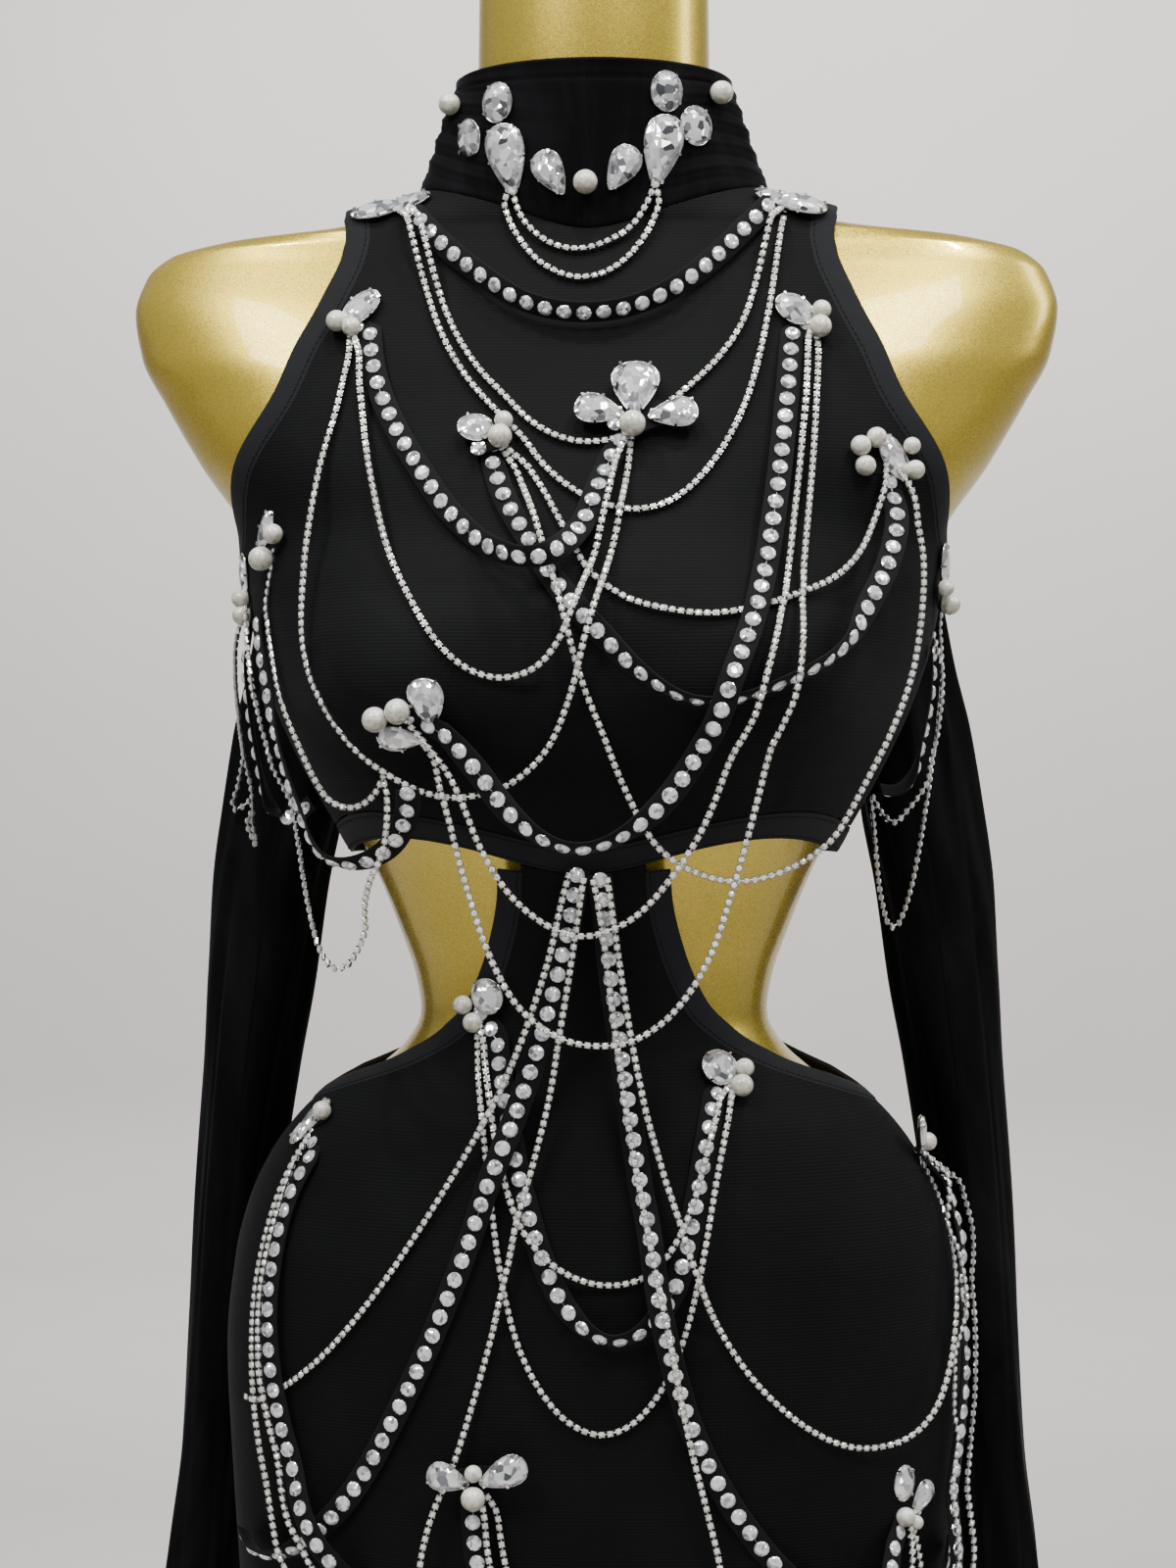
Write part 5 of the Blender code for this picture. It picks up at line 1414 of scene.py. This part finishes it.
def sightLine(x, y):
    right = Vector((math.cos(photo["turn"]), math.sin(photo["turn"]), 0.0))
    place = right * ((x - photo["axisX"]) * photo["unit"])
    place += Vector((0, 0, (photo["axisY"] - y) * photo["unit"]))
    return (place - eyePoint()).normalized()


def treeOf(things):
    points, faces, start = [], [], 0
    for thing in things:
        points.extend(pointsOf(thing).tolist())
        faces.extend([[start + i for i in p.vertices] for p in thing.data.polygons])
        start += len(thing.data.vertices)
    return BVHTree.FromPolygons(points, faces)


def sight(tree, x, y):
    # where a point of the drawing falls on the dress, and the way that place faces
    eye, ray = eyePoint(), sightLine(x, y)
    place, normal, _, _ = tree.ray_cast(eye, ray)
    if place is None or place.y > layLook["beside"]:
        place = eye + ray * ((layLook["beside"] - eye.y) / ray.y)
        normal = Vector((place.x, 0.3 * place.y, 0.0)).normalized()
    return place, normal


def curveThrough(points):
    # a drawn route in even small steps
    scale = photo["unit"] / layLook["step"]
    return openThrough(points, lambda b, c: max(2, int(np.linalg.norm(c - b) * scale)))


def taut(along, out):
    # the least line outside of out that bulges only outwards, as a drape held at its ends
    hull = []
    for point in zip(along, out):
        while len(hull) > 1:
            (ax, ay), (bx, by) = hull[-2:]
            if (bx - ax) * (point[1] - ay) - (by - ay) * (point[0] - ax) < 0:
                break
            hull.pop()
        hull.append(point)
    xs, ys = np.array(hull).T
    return np.interp(along, xs, ys)


def smoothed(values, reach):
    padded = np.concatenate([values[:1].repeat(reach, 0), values, values[-1:].repeat(reach, 0)])
    return np.mean([padded[k:k + len(values)] for k in range(2 * reach + 1)], axis=0)


def hang(tree, points):
    drawn = curveThrough(points)
    eye = eyePoint()
    rays = [sightLine(x, y) for x, y in drawn]
    found = [sight(tree, x, y) for x, y in drawn]
    depths = np.array([place.y for place, _ in found])
    normals = np.array([normal for _, normal in found])
    out = smoothed(taut(runningLength(drawn), -depths)[:, None], 3)[:, 0]
    places = np.array([eye + ray * ((-o - eye.y) / ray.y) for ray, o in zip(rays, out)])
    angle = np.arctan2(places[:, 0], -places[:, 1])
    reach = np.hypot(places[:, 0], places[:, 1])
    skin = figureRadius(angle, places[:, 2]) + clothLook["gap"] + clothLook["wall"]
    places[:, :2] *= (1 + np.maximum(skin - reach, 0) / reach)[:, None]
    above = (out + depths) * np.abs(normals[:, 1])
    free = np.clip((above - layLook["freeFrom"]) / layLook["freeOver"], 0, 1)[:, None]
    return places, unit(smoothed(normals * (1 - free) + np.array([0.0, -1.0, 0.0]) * free, 5))


def tangents(places):
    along = np.gradient(places, axis=0)
    return along / np.maximum(np.linalg.norm(along, axis=1, keepdims=True), 1e-9)


def twistOf(places):
    # a strap hangs flat where it falls and turns on edge where it runs level
    level = np.hypot(*tangents(smoothed(places, 3))[:, :2].T)
    share = np.clip((level - layLook["levelFrom"]) / layLook["levelOver"], 0, 1)
    return strapLook["twist"] * smoothed((share * share * (3 - 2 * share))[:, None], 5)[:, 0]


def lay(tree, places, normals, across, out, gap, hung, laid):
    # raised off the cloth and over what was laid before, in low humps, with the ends brought down
    along = runningLength(places)
    lift = out + gap
    for end, way in ((0, along), (-1, along[-1] - along)):
        start = Vector(places[end] + normals[end] * lift[end])
        _, _, _, fall = tree.ray_cast(start, Vector(-normals[end]))
        if fall and not (end == 0 and hung):
            ramp = np.clip(1 - way / layLook["endRamp"], 0, 1)
            lift = lift - max(fall - out[end] - layLook["endGap"], 0) * ramp
    for _ in range(layLook["rounds"]):
        centre = places + normals * lift[:, None]
        need = np.zeros(len(places))
        for others, otherAcross, otherOut in laid:
            apart = centre[:, None] - others[None]
            rise = (apart * normals[:, None]).sum(-1)
            beside = np.sqrt(np.maximum((apart**2).sum(-1) - rise**2, 0))
            close = beside < across[:, None] + otherAcross[None] + layLook["apart"]
            wanted = out[:, None] + otherOut[None] + layLook["gap"] - rise
            need = np.maximum(need, np.where(close & (wanted < layLook["passUnder"]), wanted, 0).max(1))
        spread = (need[None] - layLook["slope"] * np.abs(along[:, None] - along[None])).max(1)
        lift = lift + np.maximum(spread, 0)
        if need.max() < 0.05:
            break
    return places + normals * lift[:, None]


def strapFrames(centre, normals, twist):
    ahead = tangents(smoothed(centre, 2))

    def squared(vectors):
        return unit(vectors - (vectors * ahead).sum(1, keepdims=True) * ahead)

    normal = squared(normals)
    side = np.cross(ahead, normal)
    down = np.where(side[:, 2:] < 0, side, -side)
    face = squared(smoothed(normal * np.cos(twist)[:, None] + down * np.sin(twist)[:, None], 3))
    return ahead, face, np.cross(face, ahead)


def makeTape(name, centre, ahead, face, across):
    # a flat tape with rounded edges under the row of stones
    half, low = strapLook["width"] / 2, -strapLook["height"] / 2
    high = low + strapLook["tape"]
    outline = [(-half + 0.4, low), (half - 0.4, low), (half, low + 0.35), (half, high - 0.35),
               (half - 0.4, high), (0.0, high + 0.05), (-half + 0.4, high), (-half, high - 0.35),
               (-half, low + 0.35)]
    points = np.stack([centre + across * x + face * y for x, y in outline], axis=1).reshape(-1, 3)
    uvs = [(d * mm, x * mm) for d in runningLength(centre) for x, _ in outline]
    return newPiece(name, points, ringFaces([0] * len(centre), len(outline)), tape, uvs)


def spoken(name):
    first, *rest = name.split("_")
    return first + "".join(word.capitalize() for word in rest)


def lengthOf(places):
    return round(float(np.linalg.norm(np.diff(places, axis=0), axis=1).sum()))


def sewnSpots(tree):
    # where drapes end: under each brooch, and at the points of the collar's two large stones
    spots = []
    for name, (centre, _) in brooches.items():
        middle = pointsOf(cadNodes[name]).mean(axis=0)
        spots.append(middle - np.array(sight(tree, *centre)[1]) * layLook["under"])
    for x, y in layLook["collarPoints"]:
        place, normal = sight(tree, x, y)
        spots.append(np.array(place + normal * 2.0))
    return np.array(spots)


def carriedOn(places, normals, spots):
    # both ends go on to the brooch or stone that they are sewn under, if one is near
    added = []
    for end in (places[0], places[-1]):
        away = np.linalg.norm(spots - end, axis=1)
        near = away.argmin()
        count = int(away[near] / layLook["step"]) if away[near] < layLook["reach"] else 0
        share = np.linspace(0, 0.9, count + 1)[1:, None]
        added.append(end + (spots[near] - end) * share)
    before, after = added
    long = np.concatenate([before[::-1], places, after])
    return long, np.pad(normals, ((len(before), len(after)), (0, 0)), mode="edge"), (len(before), len(after))


def drapeAll(tree):
    laid = []
    spots = sewnSpots(tree)
    for name in layOrder:
        if name in straps:
            places, normals = hang(tree, straps[name])
            twist = twistOf(places)
            half, thick = strapLook["width"] / 2, strapLook["height"] / 2
            across = half * np.cos(twist) + thick * np.sin(twist)
            out = thick * np.cos(twist) + half * np.sin(twist)
            gap = layLook["gap"] + strapLook["ease"]
            centre = lay(tree, places, normals, across, out, gap, name in hungAtStart, laid)
            laid.append((centre, across, out))
            soft = smoothed(centre, 2)
            soft[0], soft[-1] = centre[0], centre[-1]
            soft, normals, extra = carriedOn(soft, normals, spots)
            twist = np.pad(twist, extra, mode="edge")
            ahead, face, over = strapFrames(soft, normals, twist)
            ribbon = makeTape(spoken(name), soft, ahead, face, over)
            dress(ribbon, "binding", name)
            line = soft + face * (-thick + strapLook["tape"] - 0.05)
            row = alongPath(spoken(name) + "Stones", [(line[1:-1], face[1:-1], ahead[1:-1])], {
                "Pitch": strapLook["pitch"] * mm, "Setting": shapes["bezel"], "Stone": shapes["stone"],
                "Setting Material": silver, "Stone Material": crystal, "Wire Radius": 0.0001,
                "Looseness": strapLook["looseness"], "Seed": strapLook["seed"] + len(laid),
            })
            dress(row, "crystal")
            print(name, "hung,", lengthOf(soft), "mm")
            continue
        done = []
        for route in loops[name] if name in loops else (chains[name],):
            places, normals = hang(tree, route)
            thick = np.full(len(places), layLook["chain"])
            centre = lay(tree, places, normals, thick, thick, layLook["gap"], name in hungAtStart, laid)
            done.append((centre, normals))
        for centre, _ in done:
            thick = np.full(len(centre), layLook["chain"])
            laid.append((centre, thick, thick))
        done = [carriedOn(centre, normals, spots) for centre, normals in done]
        lines = [(smoothed(centre, 1), normals, tangents(smoothed(centre, 2))) for centre, normals, _ in done]
        piece = alongPath(spoken(name), lines, {
            "Pitch": chainLook["pitch"] * mm, "Setting": shapes["cup"], "Stone": shapes["chip"],
            "Setting Material": silver, "Stone Material": crystalSmall, "Wire Radius": chainLook["wire"] * mm,
            "Looseness": chainLook["looseness"], "Seed": chainLook["seed"] + len(laid),
        })
        dress(piece, "chain", name)
        print(name, "hung,", ", ".join(str(lengthOf(places)) for places, _, _ in done), "mm")
    print("drapes hung")


# Brooches: the centre on the drawing, then stones as kind, right, up, width, height, tilt in degrees

brooches = {
    "brooch_shoulder_left": ((402, 214), (
        ("oval", -7, -3, 12, 25, -70), ("oval", 7, 3, 10, 22, -50),
    )),
    "brooch_shoulder_right": ((803, 210), (
        ("oval", -6, 3, 10, 20, 50), ("oval", 6, -3, 14, 24, 65),
    )),
    "brooch_chest_left": ((362, 328), (
        ("oval", 3, 6, 12, 21, -42), ("pearl", -7, -3, 10, 10, 0), ("pearl", 0, -6, 9, 9, 0),
    )),
    "brooch_flower": ((646, 424), (
        ("pear", 1, 10, 24, 28, 0), ("pear", -15, -1, 17, 22, 75), ("pear", 18, -3, 17, 22, -80),
        ("pearl", 0, -11, 12, 12, 0), ("round", -8, -8, 6, 6, 0),
    )),
    "brooch_chest_centre": ((500, 447), (
        ("oval", -6, 2, 13, 16, 70), ("pearl", 7, 4, 8.5, 8.5, 0), ("pearl", 6, -5, 11, 11, 0),
        ("round", -4, -9, 6, 6, 0),
    )),
    "brooch_right_bust": ((899, 464), (
        ("pearl", -12, 3, 9.5, 9.5, 0), ("pearl", -4, 7, 9.5, 9.5, 0), ("pearl", -10, -6, 9.5, 9.5, 0),
        ("oval", 6, -1, 11, 22, 30), ("pearl", 14, 4, 8, 8, 0), ("pearl", 15, -7, 9, 9, 0),
    )),
    "brooch_chest_right": ((824, 326), (
        ("oval", -6, 4, 13, 19, 50), ("pearl", 6, 2, 9, 9, 0), ("pearl", 5, -7, 10.5, 10.5, 0),
    )),
    "brooch_under_bust": ((418, 738), (
        ("pear", 9, 9, 18, 24, 0), ("pear", -5, -8, 15, 23, 85), ("pearl", -15, 3, 11.5, 11.5, 0),
        ("pearl", -4, 7, 11.5, 11.5, 0),
    )),
    "brooch_side_left": ((278, 558), (
        ("oval", -3, 8, 9, 19, -25), ("pearl", 8, 5, 9.5, 9.5, 0), ("pearl", 0, -6, 11.5, 11.5, 0),
    )),
    "brooch_arm_left": ((254, 606), (
        ("oval", 0, 9, 9, 20, -5), ("pearl", 2, -2, 9, 9, 0), ("pearl", 3, -10, 9.5, 9.5, 0),
    )),
    "brooch_arm_right": ((956, 596), (
        ("oval", 2, 9, 10, 20, 10), ("pearl", -5, -2, 8, 8, 0), ("pearl", 3, -9, 10, 10, 0),
    )),
    "brooch_waist_left": ((494, 1026), (
        ("round", 4, 5, 16, 16, 0), ("pearl", -8, 1, 9, 9, 0), ("pearl", -3, -7, 9.5, 9.5, 0),
    )),
    "brooch_waist_right": ((742, 1100), (
        ("round", -4, 4, 17, 17, 0), ("pearl", 7, 2, 9, 9, 0), ("pearl", 3, -7, 10.5, 10.5, 0),
    )),
    "brooch_hip_left": ((322, 1146), (
        ("oval", -2, 3, 11, 20, -25), ("pearl", 7, 5, 9, 9, 0), ("oval", -6, -6, 9, 14, -20),
    )),
    "brooch_hip_right": ((938, 1166), (
        ("oval", -4, 5, 10, 18, 25), ("pearl", 5, 0, 9, 9, 0), ("round", 2, -8, 7, 7, 0),
    )),
    "brooch_thigh_left": ((489, 1508), (
        ("pear", -12, 2, 14, 19, 75), ("pear", 13, 5, 15, 23, -65), ("pearl", 0, 5, 8, 8, 0),
        ("pearl", 0, -6, 11, 11, 0),
    )),
    "brooch_thigh_right": ((928, 1534), (
        ("oval", -4, 10, 12, 16, 0), ("pear", 8, 1, 12, 18, -40), ("pearl", -5, -5, 9, 9, 0),
        ("pearl", 3, -9, 7, 7, 0),
    )),
}
broochLook = {
    "plate": 1.4,           # thickness of the backing
    "plateRound": 2.6,
    "thick": 0.30,          # a stone's thickness, as a part of its width
    "prong": 0.55,
    "rim": 0.5,
    "seat": 0.2,
    "sides": 24,
    "pearlSides": 24,
    "pearlRings": 14,
    "pearlRise": 0.84,      # how far a pearl's middle stands above its cup, in radii
    "collarSink": 0.2,
    "collarSeat": 0.5,
}
collarStones = (
    ("oval", 509, 105, 15, 18, -15),
    ("oval", 679, 93, 15, 18, 12),
    ("pear", 519, 163, 21, 33, 8),
    ("pear", 674, 154, 21, 33, -8),
    ("pear", 563, 177, 16, 22, 30),
    ("pear", 634, 172, 16, 22, -30),
    ("oval", 481, 142, 15, 18, -8),
    ("oval", 709, 129, 15, 18, 8),
    ("pearl", 598, 186, 11.5, 11.5, 0),
    ("pearl", 466, 109, 10.5, 10.5, 0),
    ("pearl", 729, 97, 11, 11, 0),
)


def outlineOf(kind, width, height, count, offset=0.0):
    turn = 2 * math.pi * (np.arange(count) + offset) / count + math.pi / 2
    x, y = np.cos(turn) * width / 2, np.sin(turn) * height / 2
    if kind == "pear":
        x = x * (1 + 0.5 * np.sin(turn)) / 1.25
    return np.stack([x, y], axis=1)


class Jewel:
    # collects stones, settings and pearls of one brooch in its own mesh
    def __init__(self):
        self.points, self.faces, self.indices, self.smooth = [], [], [], []

    def add(self, points, faces, index, smooth, frame):
        start = len(self.points)
        self.points.extend([frame @ Vector(p) for p in points])
        self.faces.extend([[start + i for i in face] for face in faces])
        self.indices.extend([index] * len(faces))
        self.smooth.extend([smooth] * len(faces))

    def lathe(self, rings, index, smooth, frame):
        # rings are lists of points with the same count, closed below and above
        points = [p for ring in rings for p in ring]
        self.add(points, ringFaces([0] * len(rings), len(rings[0])), index, smooth, frame)

    def cutStone(self, kind, width, height, frame, base):
        # girdle, two rows of crown facets in half-step turns, and the flat table
        count = 16 if min(width, height) > 8 else 12
        thick = min(width, height) * broochLook["thick"]
        levels = ((0.93, 0.0, 0), (1.0, 0.16, 0), (1.0, 0.30, 0), (0.83, 0.66, 0.5), (0.60, 0.92, 0),
                  (0.44, 1.0, 0.5))
        points = [
            (x, y, base + thick * rise) for share, rise, offset in levels
            for x, y in outlineOf(kind, width * share, height * share, count, offset)
        ]
        self.add(points, ringFaces([level[2] for level in levels], count), 0, False, frame)
        # the cup that holds it, and its claws
        cup = []
        wide, tall, rim = width + 2 * broochLook["rim"], height + 2 * broochLook["rim"], thick * 0.34
        for share, z in ((0.86, base - 0.9), (1.0, base + 0.1), (1.0, base + rim), (0.965, base + rim + 0.05),
                         (0.95, base + rim - 0.25)):
            outline = outlineOf(kind, wide * share, tall * share, broochLook["sides"])
            cup.append([(x, y, z) for x, y in outline])
        self.lathe(cup, 1, True, frame)
        claws = 6 if max(width, height) > 18 else 4
        spots = outlineOf(kind, width, height, claws, 0.5)
        for x, y in spots:
            reach = math.hypot(x, y)
            inX, inY = -x / reach, -y / reach
            half = broochLook["prong"]
            sideX, sideY = -inY * half, inX * half
            outX, outY = x - inX * 0.55, y - inY * 0.55
            tipX, tipY = x + inX * 1.1, y + inY * 1.1
            top = base + thick * 0.66
            corners = []
            for cx, cy, z in ((outX, outY, base), (outX, outY, top * 0.9 + 0.3), (tipX, tipY, top + 0.45),
                              (tipX, tipY, top - 0.1)):
                corners += [(cx - sideX, cy - sideY, z), (cx + sideX, cy + sideY, z)]
            faces = [[0, 1, 3, 2], [2, 3, 5, 4], [4, 5, 7, 6], [6, 7, 1, 0], [0, 2, 4, 6], [7, 5, 3, 1]]
            self.add(corners, faces, 1, False, frame)

    def pearlAt(self, width, frame, base):
        radius, count = width / 2, broochLook["pearlRings"]
        middle = base + radius * broochLook["pearlRise"]

        def level(wide, z, sides):
            turn = 2 * math.pi * np.arange(sides) / sides
            return [(wide * math.cos(t), wide * math.sin(t), z) for t in turn]

        steps = [math.pi * k / count for k in range(1, count)]
        self.lathe([level(radius * math.sin(a), middle - radius * math.cos(a), broochLook["pearlSides"])
                    for a in steps], 2, True, frame)
        cup = ((0.45, base - 0.6), (0.7, base + radius * 0.05), (0.8, base + radius * 0.3))
        self.lathe([level(radius * share, z, 16) for share, z in cup], 1, True, frame)

    def plate(self, spots, frame):
        shape, wide = bmesh.new(), broochLook["plateRound"]
        for x, y in spots:
            for a in np.linspace(0, 2 * math.pi, 12, endpoint=False):
                for z in (-broochLook["plate"], -0.2):
                    shape.verts.new((x + wide * math.cos(a), y + wide * math.sin(a), z))
        made = bmesh.ops.convex_hull(shape, input=shape.verts)
        spare = [v for v in made["geom_interior"] + made["geom_unused"] if isinstance(v, bmesh.types.BMVert)]
        bmesh.ops.delete(shape, geom=list(set(spare)), context="VERTS")
        bmesh.ops.recalc_face_normals(shape, faces=shape.faces)
        shape.verts.index_update()
        points = [tuple(v.co) for v in shape.verts]
        faces = [[v.index for v in f.verts] for f in shape.faces]
        shape.free()
        self.add(points, faces, 3, False, frame)

    def made(self, name):
        piece = newPiece(name, np.array([tuple(p) for p in self.points]), self.faces,
                         (crystalLarge, silver, pearl, tape), indices=self.indices, smooth=False)
        piece.data.polygons.foreach_set("use_smooth", self.smooth)
        return piece


def frameAt(place, normal, tilt):
    # a frame in the tables' millimetres, Z along the normal and Y up the dress
    z = Vector(normal).normalized()
    y = Vector((0, 0, 1)) - z * z.z
    y = y.normalized() if y.length > 0.05 else Vector((0, 1, 0))
    x = y.cross(z)
    turned = Matrix((x, y, z)).transposed() @ Matrix.Rotation(math.radians(tilt), 3, "Z")
    return Matrix.Translation(Vector(place)) @ turned.to_4x4()


def makeBrooches(tree):
    for name, (centre, stones) in brooches.items():
        place, _ = sight(tree, *centre)
        spots = [(right, up) for _, right, up, _, _, _ in stones]
        unitHere = photo["unit"]
        under = [sight(tree, centre[0] + x / unitHere, centre[1] - y / unitHere)[1] for x, y in spots]
        normal = sum(under, Vector()).normalized()
        heights = pointsOf(cadNodes[name]) @ np.array(normal)
        seat = float(np.percentile(heights, 2)) + broochLook["plate"]
        place = place + normal * (seat - place.dot(normal))
        base = frameAt(place, normal, 0)
        jewel = Jewel()
        jewel.plate(spots, base)
        for kind, right, up, width, height, tilt in stones:
            local = base @ Matrix.Translation((right, up, 0)) @ Matrix.Rotation(math.radians(tilt), 4, "Z")
            if kind == "pearl":
                jewel.pearlAt(width, local, 0.0)
            else:
                jewel.cutStone(kind, width, height, local, broochLook["seat"])
        dress(jewel.made(spoken(name)), "crystal", name)
    print("brooches set")


def makeCollarStones(tree):
    jewel = Jewel()
    for kind, x, y, width, height, tilt in collarStones:
        place, normal = sight(tree, x, y)
        frameHere = frameAt(place - normal * broochLook["collarSink"], normal, tilt)
        if kind == "pearl":
            jewel.pearlAt(width, frameHere, 0.0)
        else:
            jewel.cutStone(kind, width, height, frameHere, broochLook["collarSeat"])
    return dress(jewel.made("collarStones"), "crystal")


# Floor, wall and soft studio light

studio = {
    "wall": 6.5,            # metres behind the form, so that its back can be looked at too
    "wide": 30.0,
    "near": -9.0,
    "tall": 5.0,
    "curve": 0.4,           # radius between floor and wall
    "grey": (0.65, 0.625, 0.61),
    "world": 0.38,
    "sky": (0.95, 0.96, 1.0, 1.0),
}
# name, place, aim, width and height, watts, colour, and whether it shows in reflections
warm, plainLight = (1.0, 0.98, 0.95), (1.0, 0.99, 0.97)
lights = (
    ("keyLight", (-1.0, -1.5, 2.9), (0.0, 0.0, 1.25), (0.9, 0.5), 34.0, warm, True),
    ("ceilingLight", (0.7, -1.3, 2.9), (0.0, 0.0, 1.3), (0.9, 0.4), 27.2, warm, True),
    ("fillLight", (0.3, -2.6, 1.3), (0.0, 0.0, 1.2), (1.6, 1.6), 16.0, warm, False),
    ("spotLight1", (-0.75, -0.45, 3.0), (0.0, 0.0, 1.3), (0.09, 0.09), 12.0, plainLight, True),
    ("spotLight2", (0.05, -0.6, 3.0), (0.0, 0.0, 1.3), (0.09, 0.09), 12.0, plainLight, True),
    ("spotLight3", (0.8, -0.4, 3.0), (0.0, 0.0, 1.3), (0.09, 0.09), 12.0, plainLight, True),
    ("wallLight", (0.0, 4.2, 3.9), (0.0, 6.5, 1.0), (5.0, 0.6), 230.0, warm, True),
    ("rimLight", (1.6, 0.1, 2.2), (0.0, 0.0, 1.2), (0.4, 1.2), 11.2, warm, True),
    ("backLight", (-0.9, 3.2, 1.9), (0.0, 0.0, 1.1), (1.6, 1.6), 22.4, warm, False),
)


def makeStudio():
    finish = Finish("studio", {"Roughness": 0.9, "Specular IOR Level": 0.2})
    cloud = finish.pattern("Noise", Scale=2.0, Detail=3.0)
    light = tuple(c * 1.03 for c in studio["grey"])
    finish.colour(cloud.outputs["Fac"], ((0.3, studio["grey"]), (0.7, light)))
    wall, curve = studio["wall"], studio["curve"]
    profile = [(studio["near"], 0.0), (wall - curve, 0.0)]
    for a in np.linspace(0, math.pi / 2, 12)[1:]:
        profile.append((wall - curve + curve * math.sin(a), curve - curve * math.cos(a)))
    profile.append((wall, studio["tall"]))
    points = [(x, y, z) for y, z in profile for x in (-studio["wide"], studio["wide"])]
    faces = [[2 * k, 2 * k + 1, 2 * k + 3, 2 * k + 2] for k in range(len(profile) - 1)]
    mesh = bpy.data.meshes.new("studioFloor")
    mesh.from_pydata(points, [], faces)
    mesh.materials.append(finish.material)
    mesh.shade_smooth()
    placed("studioFloor", mesh)
    for name, place, aim, size, energy, colour, reflected in lights:
        light = bpy.data.lights.new(name, "AREA")
        light.shape = "RECTANGLE"
        light.size, light.size_y = size
        light.energy = energy
        light.color = colour
        holder = placed(name, light)
        holder.location = place
        holder.rotation_euler = (Vector(aim) - Vector(place)).to_track_quat("-Z", "Y").to_euler()
        holder.visible_glossy = reflected
    world = bpy.data.worlds.new("world")
    bpy.context.scene.world = world
    world.use_nodes = True
    background = world.node_tree.nodes["Background"]
    background.inputs["Color"].default_value = studio["sky"]
    background.inputs["Strength"].default_value = studio["world"]


# Making it all

makeCamera()
makeStudio()
form = makeForm()
stand = makeStand()
print("form and stand made")
shapes = makeSmallShapes()
alongTree = setAlongPathTree()
bodiceFront = makePanel("bodiceFront", (
    (lambda a: bodiceFoot(a) + 0.5, 89.9), *bodiceFrontRows, (lambda a: bodiceTop(a) - 4.2, 89.9),
    (bodiceTop, 89.9),
), 0, "bodice_front")
bodiceBack = makePanel("bodiceBack", (
    (lambda a: bodiceFoot(a) + 0.5, 89.9), *bodiceBackRows, (bodiceTop, 89.9),
), 180, "bodice_back")
skirt = ((panelTop, clothLook["panelEdge"]), *skirtRows)[::-1]
skirtFront = makePanel("skirtFront", skirt, 0, "skirt_front")
skirtBack = makePanel("skirtBack", skirt, 180, "skirt_back")
print("panels made")
bindings = makeBindings()
band = makeBand()
collar = makeCollar()
sleeves = makeSleeves()
print("bands, collar and sleeves made")
surface = treeOf([bodiceFront, bodiceBack, skirtFront, skirtBack, band, collar, *sleeves, *bindings, form])
drapeAll(surface)
makeBrooches(surface)
makeCollarStones(treeOf([collar]))
for shape in shapes.values():
    bpy.data.objects.remove(shape, do_unlink=True)


print("all pieces made")
